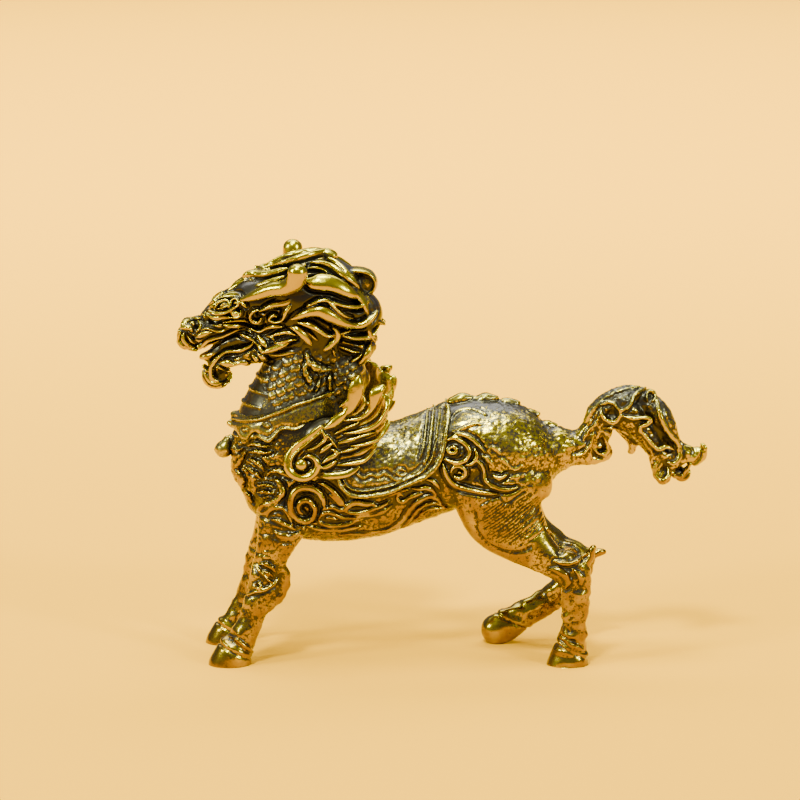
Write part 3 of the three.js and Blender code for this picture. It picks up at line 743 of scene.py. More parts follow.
@dataclass
class Trunk(SubAssembly):
    """The body from chest to rump, with its carved clouds and hammered rump."""

    stations: Stations = (
        (-23.0, 0, 24.5, 3.7, 3.8),
        (-21.6, 0, 24.1, 6.1, 4.9),
        (-18.5, 0, 23.6, 8.1, 5.7),
        (-14.0, 0, 22.9, 8.2, 6.1),
        (-9.5, 0, 22.6, 7.4, 6.0),
        (-5.0, 0, 23.3, 6.5, 5.6),
        (-1.0, 0, 24.7, 6.4, 5.3),
        (3.5, 0, 26.4, 6.4, 5.7),
        (8.5, 0, 26.3, 6.1, 5.9),
        (12.0, 0, 26.2, 4.6, 4.6),
        (14.0, 0, 26.5, 3.0, 3.0),
    )
    lobes: Stations = (
        (2.4, 32.9, 1.4),
        (5.3, 32.9, 1.4),
        (8.0, 32.3, 1.4),
        (10.7, 30.9, 1.2),
        (13.0, 29.4, 1.1),
    )

    def masses(self) -> list[Clay]:
        """The trunk from chest to rump."""
        return [sweep(self.stations)]

    def extras(self, surface: Surface) -> list[Clay]:
        """The flame-like lobes along the rump.

        Args:
            surface: the core that the forms stand on; not used here.

        Returns:
            The forms.
        """
        made = []
        for x, z, half in self.lobes:
            made.append(sweep([
                [x - half, 0, z - 0.3, 0.55, 0.8],
                [x, 0, z + 0.1, 0.75, 0.9],
                [x + half, 0, z + 0.15, 0.3, 0.4],
            ], fine=0.16))
        return made

    def ribbons(self) -> list[Ribbon]:
        """Scrolls and clouds on the shoulder, belly and flank.

        Returns:
            The ribbons, in the order in which they are laid.
        """

        def wave(*path: Spot, top: float = 0.32) -> Ribbon:
            """A soft raised band on the belly."""
            return Ribbon(path, 6.0, top, foot=0.45, moat=0.22)

        def scroll(*path: Spot, top: float = 0.38) -> Ribbon:
            """A crisp raised band on the flank."""
            return Ribbon(path, 5.8, top, foot=0.5, moat=0.35)

        def swell(*path: Spot) -> Ribbon:
            """A low swelling on the rump."""
            return Ribbon(path, 5.8, 0.16, foot=0.4, moat=0.08)

        shoulder = [
            Ribbon([(-14.8, 20.5, 0.15), (-14.95, 21.5, 0.4), (-15.6, 22.45, 0.45), (-16.5, 22.95, 0.5),
                    (-17.6, 22.95, 0.5), (-18.5, 22.4, 0.48), (-18.95, 21.4, 0.45), (-18.95, 20.3, 0.42),
                    (-18.5, 19.3, 0.42), (-17.7, 18.75, 0.42), (-16.8, 18.75, 0.42), (-16.15, 19.25, 0.4),
                    (-15.95, 20.1, 0.38), (-16.3, 20.95, 0.38), (-17.0, 21.35, 0.38), (-17.7, 21.15, 0.36),
                    (-18.05, 20.5, 0.3), (-17.85, 19.85, 0.24),
                    (-17.4, 19.65, 0.12)], 6.0, 0.45, foot=0.6, moat=0.5),
            scroll((-15.6, 23.5, 0.08), (-14.8, 23.3, 0.24), (-14.1, 22.8, 0.3), (-13.35, 22.1, 0.34),
                   (-12.7, 21.4, 0.3), (-12.3, 21.0, 0.1)),
            scroll((-14.2, 22.0, 0.1), (-13.5, 21.6, 0.38), (-12.8, 21.0, 0.38), (-12.4, 20.7, 0.12)),
        ]
        belly = [
            wave((-15.0, 20.2, 0.1), (-13.7, 20.45, 0.26), (-12.8, 20.15, 0.3), (-12.1, 20.35, 0.34),
                 (-11.4, 20.85, 0.46), (-10.6, 21.0, 0.48), (-9.8, 20.85, 0.44), (-9.0, 20.95, 0.34),
                 (-8.3, 20.7, 0.1)),
            wave((-12.4, 19.95, 0.06), (-11.6, 19.8, 0.24), (-10.4, 19.75, 0.28), (-9.3, 20.0, 0.28),
                 (-8.4, 20.4, 0.28), (-7.5, 20.7, 0.24), (-6.8, 21.2, 0.08)),
            wave((-15.5, 18.9, 0.1), (-15.1, 19.5, 0.22), (-14.3, 19.8, 0.26), (-13.3, 19.5, 0.26),
                 (-12.3, 19.1, 0.24), (-11.3, 19.1, 0.24), (-10.2, 19.35, 0.26), (-9.0, 19.5, 0.3),
                 (-8.0, 19.75, 0.34), (-7.2, 20.1, 0.34), (-6.4, 20.7, 0.1)),
            wave((-15.5, 18.8, 0.1), (-15.1, 18.4, 0.24), (-14.1, 18.15, 0.28), (-12.9, 18.15, 0.28),
                 (-11.8, 18.35, 0.28), (-10.8, 18.8, 0.24), (-9.9, 19.0, 0.1)),
            wave((-14.7, 19.0, 0.08), (-14.0, 19.2, 0.22), (-13.2, 18.85, 0.08), top=0.2),
            wave((-16.9, 18.1, 0.1), (-15.5, 17.7, 0.32), (-14.2, 17.6, 0.34), (-12.6, 17.6, 0.34),
                 (-11.2, 17.85, 0.28), (-10.2, 18.1, 0.1)),
            wave((-13.0, 16.9, 0.1), (-11.1, 17.1, 0.26), (-9.8, 17.05, 0.28), (-8.5, 17.3, 0.28),
                 (-7.1, 17.6, 0.3), (-5.8, 18.2, 0.32), (-5.0, 18.9, 0.34), (-4.4, 19.8, 0.34),
                 (-3.8, 20.6, 0.36), (-2.8, 21.45, 0.38), (-1.7, 21.9, 0.38), (-0.85, 21.6, 0.3),
                 (-0.2, 21.0, 0.12)),
            wave((-5.0, 17.9, 0.08), (-4.4, 18.6, 0.2), (-3.8, 19.4, 0.22), (-3.1, 20.25, 0.24),
                 (-2.2, 20.9, 0.24), (-1.2, 21.05, 0.22), (-0.3, 20.8, 0.16), (0.5, 20.3, 0.05)),
            wave((-3.6, 18.9, 0.06), (-3.1, 19.3, 0.16), (-2.4, 20.0, 0.19), (-1.2, 20.4, 0.19),
                 (0.2, 20.35, 0.1)),
            wave((-5.2, 21.75, 0.08), (-5.05, 22.0, 0.14), (-5.4, 22.1, 0.18), (-5.75, 21.8, 0.22),
                 (-5.65, 21.35, 0.24), (-5.15, 21.15, 0.28), (-4.6, 21.4, 0.3), (-4.1, 21.8, 0.34),
                 (-3.4, 22.1, 0.34), (-2.6, 22.3, 0.15)),
            wave((-6.8, 21.9, 0.1), (-6.1, 22.3, 0.25), (-5.2, 22.6, 0.26), (-4.3, 22.7, 0.1)),
            wave((-3.9, 22.9, 0.1), (-3.1, 22.8, 0.28), (-2.3, 22.95, 0.34), (-1.5, 22.7, 0.32),
                 (-0.9, 22.1, 0.12)),
            wave((-2.2, 24.0, 0.1), (-1.5, 23.9, 0.28), (-0.9, 23.4, 0.3), (-0.5, 22.8, 0.12)),
        ]
        flank = [
            scroll((0.8, 27.8, 0.1), (0.95, 28.1, 0.2), (1.4, 28.05, 0.26), (1.6, 27.65, 0.26),
                   (1.3, 27.3, 0.26), (0.8, 27.35, 0.26), (0.45, 27.75, 0.2), (0.5, 28.2, 0.08)),
            scroll((0.35, 28.7, 0.1), (0.8, 29.15, 0.26), (1.4, 29.2, 0.3), (2.1, 28.85, 0.3),
                   (2.8, 28.35, 0.3), (3.2, 27.6, 0.3), (3.05, 26.85, 0.3), (2.5, 26.3, 0.3),
                   (1.7, 26.1, 0.28), (0.9, 26.25, 0.26), (0.1, 26.6, 0.12)),
            scroll((1.2, 29.65, 0.1), (2.0, 29.7, 0.26), (2.9, 29.45, 0.3), (3.7, 28.95, 0.3),
                   (4.4, 28.25, 0.26), (5.1, 27.35, 0.08)),
            scroll((3.75, 27.9, 0.08), (4.1, 27.3, 0.24), (4.0, 26.6, 0.28), (3.5, 26.0, 0.26),
                   (2.8, 25.8, 0.1)),
            scroll((-0.1, 26.0, 0.12), (0.1, 25.2, 0.28), (0.45, 24.3, 0.33), (0.95, 23.6, 0.36),
                   (1.7, 23.1, 0.36), (2.8, 22.75, 0.33), (4.1, 22.45, 0.3), (5.5, 22.2, 0.26),
                   (6.8, 22.1, 0.06)),
            scroll((1.4, 24.45, 0.12), (1.7, 24.15, 0.26), (2.2, 24.2, 0.28), (2.65, 24.55, 0.28),
                   (2.7, 25.1, 0.28), (2.3, 25.55, 0.28), (1.65, 25.7, 0.26), (1.1, 25.4, 0.24),
                   (0.9, 24.8, 0.12)),
            scroll((1.75, 24.8, 0.05), (1.98, 24.98, 0.14), (2.2, 24.75, 0.05)),
            scroll((4.1, 26.35, 0.08), (4.6, 26.0, 0.24), (4.95, 25.3, 0.26), (5.1, 24.5, 0.28),
                   (5.2, 23.9, 0.3), (5.7, 23.35, 0.3), (6.6, 22.9, 0.3), (7.6, 22.65, 0.28),
                   (8.5, 22.75, 0.2), (9.2, 23.0, 0.06)),
            scroll((6.1, 24.6, 0.06), (6.4, 24.3, 0.24), (6.85, 24.1, 0.32), (7.4, 24.25, 0.26),
                   (7.9, 24.7, 0.06)),
            swell((0.9, 31.6, 0.1), (1.3, 32.3, 0.22), (1.9, 32.75, 0.28), (2.8, 32.95, 0.32),
                  (3.8, 32.85, 0.32), (4.7, 32.5, 0.28), (5.5, 31.95, 0.08)),
            swell((1.1, 30.0, 0.1), (2.0, 30.3, 0.2), (2.9, 30.75, 0.22), (3.9, 31.0, 0.2),
                  (4.9, 30.95, 0.06)),
            swell((4.9, 26.9, 0.1), (5.5, 26.6, 0.26), (5.9, 26.0, 0.26), (6.2, 25.6, 0.08)),
            swell((5.6, 27.9, 0.08), (6.1, 28.1, 0.22), (6.7, 27.7, 0.22), (7.0, 27.2, 0.06)),
            swell((6.9, 26.6, 0.08), (7.5, 26.3, 0.28), (8.2, 25.6, 0.1)),
            swell((8.3, 25.4, 0.1), (9.0, 25.3, 0.35), (9.8, 25.8, 0.1)),
            swell((8.4, 24.2, 0.1), (9.1, 24.2, 0.35), (9.9, 24.6, 0.1)),
        ]
        return shoulder + belly + flank

    def relief(self, points: Array, normals: Array) -> Array:
        """The hammered rump and the pitted belly.

        Args:
            points: points of the skin, in millimetres, one a row.
            normals: the outward direction at each point; not used here.

        Returns:
            How far each point is pushed out, in millimetres.
        """
        x, z = points[:, 0], points[:, 2]
        rump = ramp(x, 2.5, 5.0) * ramp(z, 21.5, 23.5)
        hammered = (0.055 * (Pebbles(0.8, 5).at(points) - 0.7) + 0.045 * Grain(0.6, 7).at(points)) * rump
        belly = ramp(-z, -23.5, -21.0) * ramp(-x, -3.0, 0.0) * ramp(x, -19, -16)
        return hammered + 0.09 * Grain(0.6, 9).at(points * [0.6, 1, 1.5]) * belly

    def buried_and_shaded(self, points: Array) -> Array:
        """Dark between the scrolls of the flank, less on the belly.

        Args:
            points: points of the skin, in millimetres, one a row.

        Returns:
            One share for each point.
        """
        x, z = points[:, 0], points[:, 2]
        flank = ramp(x, -1.5, 0.0) * ramp(-x - 0.5 * (z - 24.0), -6.5, -4.0) * ramp(z, 22.0, 22.8)
        flank *= ramp(-z, -30.0, -28.8)
        shoulder = near_spot(points * [1, 0, 1], (-17.2, 0, 20.8), 3.2)
        belly = 0.35 * ramp(-z, -23.0, -22.0) * ramp(-x, -1.0, 0.0) * ramp(x, -16.0, -14.0)
        return np.clip(flank + shoulder + belly, 0, 1)

    def tarnish(self, points: Array) -> Array:
        """Grey along the top of the rump and its dark patch.

        Args:
            points: points of the skin, in millimetres, one a row.

        Returns:
            One share for each point, from 0 to 1.
        """
        return 0.75 * ramp(points[:, 2], 30.5, 33.0) * ramp(points[:, 0], 0, 3) + 0.7 * near_spot(
            points * [1, 0.2, 1], (7.2, 0, 27.6), 3.4
        )

    def warmth(self, points: Array) -> Array:
        """Painted shade: browner and darker towards the belly."""
        return ramp(-points[:, 2], -25.5, -21.5)


@dataclass
class Neck(SubAssembly):
    """The scaled neck with plates across its throat and lumps on the chest."""

    stations: Stations = (
        (-18.0, 0, 21.4, 7.2, 5.0),
        (-18.2, 0, 24.4, 8.1, 5.4),
        (-18.2, 0, 27.6, 8.5, 5.4),
        (-18.4, 0, 31.0, 7.2, 4.8),
        (-17.7, 0, 35.0, 5.6, 4.1),
        (-16.4, 0, 39.0, 4.8, 3.9),
        (-15.2, 0, 43.0, 4.6, 3.9),
    )
    plate_count: int = 6
    plate_from: float = 0.42
    plate_to: float = 0.72
    plate_reach: float = 50.0
    plate_width: float = 0.27
    plate_sunk: float = 0.02
    lock_roots: Lump = ((-12.9, 0, 35.6), (3.3, 3.2, 5.0))
    chest: Sequence[Lump] = (
        ((-25.3, 0, 24.0), (0.75, 1.3, 1.2)),
        ((-24.6, 0, 21.4), (0.7, 1.2, 1.1)),
        ((-24.2, 1.8, 22.6), (0.6, 0.9, 0.9)),
        ((-24.2, -1.8, 22.6), (0.6, 0.9, 0.9)),
        ((-24.9, 1.7, 25.4), (0.6, 0.8, 0.9)),
        ((-24.9, -1.7, 25.4), (0.6, 0.8, 0.9)),
    )
    scale_lean: float = 24.0
    scale_width: float = 1.45

    def masses(self) -> list[Clay]:
        """The neck from the withers to the skull, with the roots of the locks behind it."""
        at, radii = self.lock_roots
        return [sweep(self.stations), ball(at, *radii)]

    def extras(self, surface: Surface) -> list[Clay]:
        """The plates across the throat and the lumps down the chest.

        Args:
            surface: the core that the forms stand on; not used here.

        Returns:
            The forms.
        """
        rows = np.array(self.stations, float)
        made = []
        for t in np.linspace(self.plate_from, self.plate_to, self.plate_count):
            before, here, after = curve_through(rows, np.array([t - 0.01, t, t + 0.01]))
            tangent = unit((after - before)[None, :3])[0]
            aside = SIDEWAYS[0]
            across = np.cross(aside, tangent)
            stations = []
            for s in np.linspace(-1, 1, 9):
                angle = s * math.radians(self.plate_reach)
                place = here[:3] - across * (here[3] - self.plate_sunk) * math.cos(angle)
                place = place + aside * (here[4] - self.plate_sunk) * math.sin(angle)
                half = self.plate_width * (1 - 0.5 * s * s)
                stations.append([*place, half, half * 0.8])
            made.append(sweep(stations, UPWARDS, 1.6, 0.16))
        return made + [ball(at, *radii) for at, radii in self.chest]

    def ribbons(self) -> list[Ribbon]:
        """Lobes and scrolls on the breast, tassels under the cloth and folds under the jaw.

        Returns:
            The ribbons, in the order in which they are laid.
        """

        def lobe(*path: Spot, top: float = 0.4) -> Ribbon:
            """A raised lobe."""
            return Ribbon(path, 5.0, top, foot=0.55, moat=0.4)

        return [
            lobe((-25.9, 28.1, 0.1), (-25.5, 27.5, 0.25), (-24.8, 27.75, 0.1)),
            lobe((-25.9, 25.2, 0.15), (-25.2, 26.1, 0.32), (-24.6, 27.1, 0.15)),
            lobe((-25.5, 24.9, 0.2), (-25.2, 24.2, 0.5), (-24.95, 23.3, 0.45),
                 (-24.8, 22.7, 0.15), top=0.5),
            lobe((-24.45, 22.2, 0.15), (-24.1, 21.6, 0.36), (-23.75, 20.9, 0.15)),
            lobe((-19.1, 24.1, 0.1), (-19.9, 24.6, 0.3), (-20.65, 24.85, 0.32), (-21.5, 24.7, 0.26),
                 (-21.9, 24.2, 0.1)),
            lobe((-20.9, 23.95, 0.12), (-20.25, 23.2, 0.35), (-20.0, 22.3, 0.42), (-20.25, 21.55, 0.36),
                 (-21.25, 20.9, 0.35), (-22.5, 20.4, 0.35), (-23.0, 19.7, 0.2), top=0.5),
            lobe((-23.2, 23.1, 0.1), (-22, 23.1, 0.22), (-21.1, 22.9, 0.1)),
            lobe((-23.1, 22.2, 0.1), (-22.2, 22.2, 0.24), (-21.2, 22.0, 0.1)),
            lobe((-24.2, 26.4, 0.1), (-23.4, 26.1, 0.28), (-22.6, 25.5, 0.26), (-22.2, 24.9, 0.1)),
            lobe((-24.5, 25.4, 0.1), (-23.8, 24.9, 0.3), (-23.1, 24.4, 0.28), (-22.6, 23.9, 0.1)),
            lobe((-24.2, 27.3, 0.1), (-23.3, 27.3, 0.26), (-22.2, 27.2, 0.24), (-21.2, 27.3, 0.1)),
            lobe((-24.3, 28.0, 0.08), (-23.5, 28.3, 0.26), (-22.4, 28.0, 0.22), (-21.4, 28.1, 0.08)),
            lobe((-16.9, 38.6, 0.1), (-17.1, 37.6, 0.3), (-16.6, 36.6, 0.3), (-16.4, 35.8, 0.1), top=0.3),
            lobe((-16.9, 39.9, 0.08), (-16.7, 39.0, 0.27), (-16.2, 38.35, 0.4), (-15.45, 37.9, 0.44),
                 (-14.6, 37.75, 0.33), (-13.85, 37.8, 0.07), top=0.5),
            lobe((-15.2, 36.9, 0.05), (-15.5, 35.8, 0.14), (-15.8, 34.9, 0.05), top=0.3),
            lobe((-14.0, 37.4, 0.05), (-14.1, 36.2, 0.16), (-14.0, 35.1, 0.05), top=0.3),
        ]

    def relief(self, points: Array, normals: Array) -> Array:
        """Overlapping scales up the neck and a rough breast.

        Args:
            points: points of the skin, in millimetres, one a row.
            normals: the outward direction at each point.

        Returns:
            How far each point is pushed out, in millimetres.
        """
        x, z = points[:, 0], points[:, 2]
        side = outward(normals, points)
        front = ramp(x + 0.55 * (z - 35.0), -22.6, -21.9)
        neck = ramp(z, 31.0, 32.5) * ramp(-z, -40.5, -38.5) * front * ramp(-x, 9.0, 11.0)
        lean = math.radians(self.scale_lean)
        u = (x * math.cos(lean) + z * math.sin(lean)) / self.scale_width + 0.25 * Grain(1.9, 61).at(points)
        v = x * math.sin(lean) - z * math.cos(lean) + 0.25 * Grain(1.7, 62).at(points)
        breast = ramp(-z, -31.0, -30.0) * ramp(z, 20.0, 21.0) * ramp(-x, 19.4, 20.4)
        rough = (0.12 * (Pebbles(0.8, 11).at(points) - 0.6) + 0.08 * Grain(0.6, 12).at(points)) * breast
        return 0.34 * (scales(u, v) - 0.45) * neck * side + rough

    def buried_and_shaded(self, points: Array) -> Array:
        """Black between the throat plates, a painted shadow under the mane behind the cloth, and less on the
        breast.

        Args:
            points: points of the skin, in millimetres, one a row.

        Returns:
            One share for each point.
        """
        x, z = points[:, 0], points[:, 2]
        throat = ramp(z, 31.5, 32.5) * ramp(-x - 0.55 * (35.0 - z), 21.3, 21.9)
        # Painted shadow under the mane on the ground behind the cloth; it reaches the ground of every part
        # behind x -16 that lies above z 31 to 33.
        behind = 1.6 * ramp(x, -17.2, -16.0) * ramp(z, 31.0, 33.0)
        breast = 0.3 * ramp(-z, -31.0, -29.0) * ramp(-x, 19.0, 20.0) * ramp(z, 19.0, 20.0)
        among = 0.6 * ramp(z, 30.0, 32.0)
        return np.clip(1.5 * throat + behind + breast + among, 0, 2)

    def tarnish(self, points: Array) -> Array:
        """Grey over the scales."""
        z = points[:, 2]
        return 0.75 * ramp(z, 31.0, 32.5) * ramp(-z, -41.0, -38.0) * ramp(-points[:, 0], 8.0, 11.0)

    def warmth(self, points: Array) -> Array:
        """Painted shade: browner and darker on the breast."""
        return 0.9 * ramp(-points[:, 2], -29.5, -27.5) * ramp(-points[:, 0], 16.5, 20.0)


def scales(u: Array, v: Array) -> Array:
    """Heights of overlapping round scales, in rows that each cover the one above.

    Args:
        u: place along a row, in scale widths.
        v: place across the rows, in row heights.

    Returns:
        The height, from 0 at the gaps to 1 on the lower rims.
    """
    height = np.zeros(len(u))
    done = np.zeros(len(u), bool)
    base = np.floor(v)
    for step in (-1, 0, 1, 2):
        row = base + step
        shift = 0.5 * np.mod(row, 2)
        across = u - shift - np.round(u - shift)
        along = v - row
        reach = np.hypot(across * 1.65, along)
        covers = (reach < 1.0) & (along < 0.55) & ~done
        rim = (0.4 + 0.6 * ramp(along, -0.7, 0.3)) * ramp(-reach, -1.0, -0.62)
        height = np.where(covers, rim, height)
        done |= covers
    return height


@dataclass
class Legs(SubAssembly):
    """Four legs: the forelegs slope forward and the right hind leg steps."""

    foreleg: Stations = (
        (-18.6, 23.5, 4.4, 3.0, 2.6),
        (-19.3, 20.3, 3.8, 3.4, 2.5),
        (-20.3, 17.2, 3.0, 3.9, 2.1),
        (-21.4, 14.0, 2.15, 4.3, 1.7),
        (-22.2, 11.4, 2.0, 4.5, 1.6),
        (-23.0, 8.6, 1.7, 4.7, 1.35),
        (-24.2, 5.4, 1.6, 4.8, 1.3),
        (-25.2, 3.2, 1.8, 4.9, 1.55),
        (-26.2, 1.4, 2.4, 5.0, 1.9),
        (-26.9, -0.4, 2.7, 5.0, 2.1),
    )
    thigh: Stations = (
        (7.1, 26.0, 5.3, 2.2, 3.2),
        (7.2, 22.8, 6.5, 2.9, 3.2),
        (7.8, 18.9, 5.3, 3.5, 2.6),
    )
    standing_shank: Stations = (
        (10.3, 15.8, 3.5, 4.1, 2.1),
        (13.1, 13.5, 2.1, 4.6, 1.7),
        (15.9, 12.0, 2.3, 5.0, 1.65),
        (16.6, 9.6, 1.9, 5.0, 1.45),
        (16.4, 6.4, 1.6, 5.0, 1.3),
        (16.3, 3.8, 1.75, 5.0, 1.5),
        (15.9, 1.5, 2.3, 5.0, 1.85),
        (15.6, -0.4, 2.7, 5.0, 2.1),
    )
    stepping_shank: Stations = (
        (10.7, 15.1, 3.2, 4.2, 2.1),
        (14.4, 12.6, 2.1, 4.8, 1.7),
        (17.2, 10.6, 2.15, 5.0, 1.6),
        (16.2, 7.9, 1.85, 5.0, 1.5),
        (13.3, 5.4, 1.75, 5.0, 1.4),
        (10.6, 3.7, 1.8, 5.0, 1.55),
        (8.3, 2.3, 2.15, 5.0, 1.8),
        (6.9, 1.5, 2.1, 5.0, 1.9),
    )
    knee_spur: Stations = (
        (-20.6, 13.0, 0.5, 0.6), (-19.7, 11.2, 0.8, 0.8), (-20.3, 9.2, 0.9, 0.7), (-21.9, 7.2, 0.6, 0.5),
    )
    hock_spur: Stations = ((16.6, 12.6, 0.9, 0.8), (18.0, 13.6, 0.9, 0.8), (18.7, 15.0, 0.55, 0.6))
    stepping_spur: Stations = ((17.6, 11.2, 0.9, 0.8), (19.2, 11.8, 0.8, 0.7), (20.7, 12.0, 0.45, 0.5))
    thigh_cut: Path = (
        (4.6, 20.7), (5.3, 21.2), (6.2, 21.6), (6.75, 21.85), (7.2, 21.5), (7.65, 20.95), (8.4, 21.3),
        (9.1, 21.8), (10.0, 22.4),
    )
    thigh_edge: Path = (
        (3.9, 19.6), (4.15, 18.4), (4.1, 17.4), (4.9, 16.2), (5.6, 15.5), (7.0, 14.9), (8.5, 14.6),
        (10.0, 14.9), (10.8, 15.4),
    )
    hatched: Path = (
        (4.8, 18.0), (6.6, 16.0), (9.0, 15.3), (12.4, 16.8), (12.8, 21.0), (10.6, 22.2), (8.4, 21.0),
        (6.9, 21.2), (5.0, 20.4),
    )
    hatch_lean: float = 37.0
    hatch_spacing: float = 0.35
    feet: Sequence[tuple[float, int, float]] = ((-26.6, -1, 0.0), (-27.5, 1, 0.0), (15.7, -1, 0.0),
                                                (7.4, 1, 1.6))
    foot_reach: float = 4.4
    foot_top: float = 4.5
    right_knee_forward: float = 0.9

    def _leg(self, stations: Stations, side: Side, knee_forward: float = 0.0) -> Clay:
        """One leg, with the knee carried forward on request.

        Args:
            stations: rows of x, z, half size across, place off the middle, half size aside.
            side: which side it is on.
            knee_forward: how far its lower half is carried forward.

        Returns:
            The skin.
        """
        hip = stations[0][1]
        placed = []
        for x, z, across, off, aside in stations:
            share = min(1.0, max(0.0, (hip - z) / (hip / 2)))
            placed.append([x - knee_forward * share, side.value * off, z, across, aside])
        return sweep(placed, fine=0.25)

    def _spur(self, stations: Stations, side: Side, off: float = 4.8, shift: float = 0.0) -> Clay:
        """One spur behind a knee or hock."""
        placed = [[x + shift, side.value * off, z, across, aside] for x, z, across, aside in stations]
        return sweep(placed, crest=1.5, fine=0.2)

    def masses(self) -> list[Clay]:
        """The four legs with their spurs.

        Returns:
            The forms.
        """
        forward = self.right_knee_forward
        return [
            self._leg(self.foreleg, Side.LEFT),
            self._leg(self.foreleg, Side.RIGHT, forward),
            self._leg([*self.thigh, *self.standing_shank], Side.LEFT),
            self._leg([*self.thigh, *self.stepping_shank], Side.RIGHT),
            self._spur(self.knee_spur, Side.LEFT, 4.6),
            self._spur(self.knee_spur, Side.RIGHT, 4.6, -forward),
            self._spur(self.hock_spur, Side.LEFT),
            self._spur(self.stepping_spur, Side.RIGHT),
        ]

    def ribbons(self) -> list[Ribbon]:
        """Leaves on the upper foreleg, the knee's lines, the folds of the hock and the fetlocks.

        Returns:
            The ribbons, in the order in which they are laid.
        """

        def leaf(*path: Spot, top: float = 0.34, paired: bool = True) -> Ribbon:
            """A raised leaf or band."""
            return Ribbon(path, 5.0, top, foot=0.5, moat=0.22, paired=paired)

        upper = [
            leaf((-23.2, 20.0, 0.1), (-22.4, 19.5, 0.35), (-21.6, 20.0, 0.42), (-20.9, 20.9, 0.45),
                 (-20.35, 21.6, 0.42), (-20.15, 22.4, 0.34), (-20.6, 23.0, 0.12)),
            leaf((-21.95, 19.0, 0.1), (-21.6, 19.7, 0.22), (-20.9, 20.1, 0.26), (-20.0, 20.1, 0.24),
                 (-19.5, 19.5, 0.2), (-19.1, 18.7, 0.15), (-18.7, 18.0, 0.06)),
            leaf((-21.4, 18.7, 0.1), (-20.6, 18.5, 0.28), (-19.8, 18.1, 0.32), (-19.0, 17.7, 0.28),
                 (-18.4, 17.3, 0.1)),
            leaf((-20.95, 17.1, 0.12), (-20.4, 16.6, 0.45), (-19.6, 16.4, 0.62), (-18.8, 16.4, 0.6),
                 (-18.1, 16.7, 0.4), (-17.7, 17.2, 0.12), top=0.28),
        ]
        knee = [
            leaf((-23.5, 12.9, 0.08), (-23.0, 12.2, 0.18), (-22.3, 11.4, 0.22), (-21.7, 10.8, 0.2),
                 (-21.2, 10.5, 0.06)),
            leaf((-22.9, 12.95, 0.1), (-22.1, 12.85, 0.3), (-21.4, 12.5, 0.3), (-21.0, 11.9, 0.1)),
            leaf((-22.3, 12.0, 0.1), (-21.7, 11.65, 0.28), (-21.2, 11.2, 0.1)),
            leaf((-24.5, 8.95, 0.1), (-23.7, 9.25, 0.24), (-22.8, 9.5, 0.26), (-21.9, 9.85, 0.26),
                 (-21.1, 10.4, 0.26), (-20.6, 11.1, 0.1)),
            leaf((-23.5, 10.25, 0.08), (-23.3, 10.55, 0.13), (-22.95, 10.5, 0.15), (-22.75, 10.15, 0.15),
                 (-23.0, 9.85, 0.13), (-23.35, 9.9, 0.08)),
        ]
        hock = [
            leaf((13.3, 12.3, 0.12), (14.1, 12.15, 0.38), (14.9, 11.85, 0.42), (15.45, 11.2, 0.42),
                 (15.6, 10.4, 0.36), (15.2, 9.7, 0.12), paired=False),
            leaf((13.9, 13.3, 0.1), (14.8, 13.05, 0.3), (15.7, 12.95, 0.32), (16.5, 13.2, 0.3),
                 (17.2, 13.8, 0.28), (17.9, 14.3, 0.1), paired=False),
            leaf((14.5, 14.4, 0.1), (15.2, 14.75, 0.26), (16.0, 14.8, 0.28),
                 (16.6, 14.5, 0.12), paired=False),
            leaf((16.2, 12.3, 0.1), (16.8, 11.8, 0.3), (17.3, 11.1, 0.3), (17.2, 10.3, 0.1), paired=False),
            leaf((12.8, 17.9, 0.05), (13.2, 17.0, 0.16), (13.7, 16.1, 0.17),
                 (14.4, 15.1, 0.06), top=0.26, paired=False),
            leaf((14.6, 3.6, 0.1), (15.4, 2.95, 0.28), (16.4, 2.4, 0.3), (17.4, 1.9, 0.25),
                 (17.9, 1.6, 0.1), top=0.2,
                 paired=False),
            leaf((-26.9, 3.7, 0.1), (-26.0, 3.15, 0.28), (-25.1, 2.5, 0.3), (-24.2, 1.85, 0.28),
                 (-23.7, 1.45, 0.1), top=0.2),
        ]
        return upper + knee + hock

    def relief(self, points: Array, normals: Array) -> Array:
        """Engraved strokes on the thigh, bark on the forelegs and the seams of the hooves.

        Args:
            points: points of the skin, in millimetres, one a row.
            normals: the outward direction at each point.

        Returns:
            How far each point is pushed out, in millimetres.
        """
        x, z = points[:, 0], points[:, 2]
        side = outward(normals, points)
        hatch = self._hatch(points) * side
        shank = ramp(-z, -12.8, -12.0) * ramp(z, 2.4, 3.4)
        lumps = 0.2 * Grain(0.85, 31).at(points * [0.8, 0.8, 1.1]) * shank
        upper = ramp(-z, -19.5, -18.0) * ramp(z, 12.6, 13.4) * ramp(-x, 15.0, 17.0)
        bark = Grain(1.0, 34).at(points * [1.0, 1.0, 1.5])
        cracks = -0.1 * ramp(-np.abs(bark), -0.16, -0.02) * upper
        cuts = 0.16 * bump(distance_to(points, self.thigh_cut, 0.2) / 0.2)
        cuts += 0.24 * bump(distance_to(points, self.thigh_edge, 0.36) / 0.36)
        return hatch + lumps + cracks - cuts * side * ramp(x, 0.0, 2.0) + self._hooves(points)

    def _hatch(self, points: Array) -> Array:
        """The slanting strokes on the thigh, each broken in places.

        Args:
            points: points of the skin, in millimetres, one a row.

        Returns:
            How far each point is pushed, in millimetres, below 0 for inwards.
        """
        x, z = points[:, 0], points[:, 2]
        lean = math.radians(self.hatch_lean)
        across = z * math.cos(lean) - x * math.sin(lean)
        along = x * math.cos(lean) + z * math.sin(lean)
        wobble = 0.12 * Grain(2.2, 21).at(np.column_stack([along, across, x * 0]))
        wave = np.abs(np.mod((across + wobble) / self.hatch_spacing, 1) - 0.5) * 2
        row = np.floor(across / self.hatch_spacing) * 3.1
        breaks = ramp(Grain(1.2, 23).at(np.column_stack([along * 0.5, row, x * 0])), -0.45, -0.2)
        return -0.12 * ramp(-wave, -0.4, -0.1) * breaks * inside(points, self.hatched, 0.4)

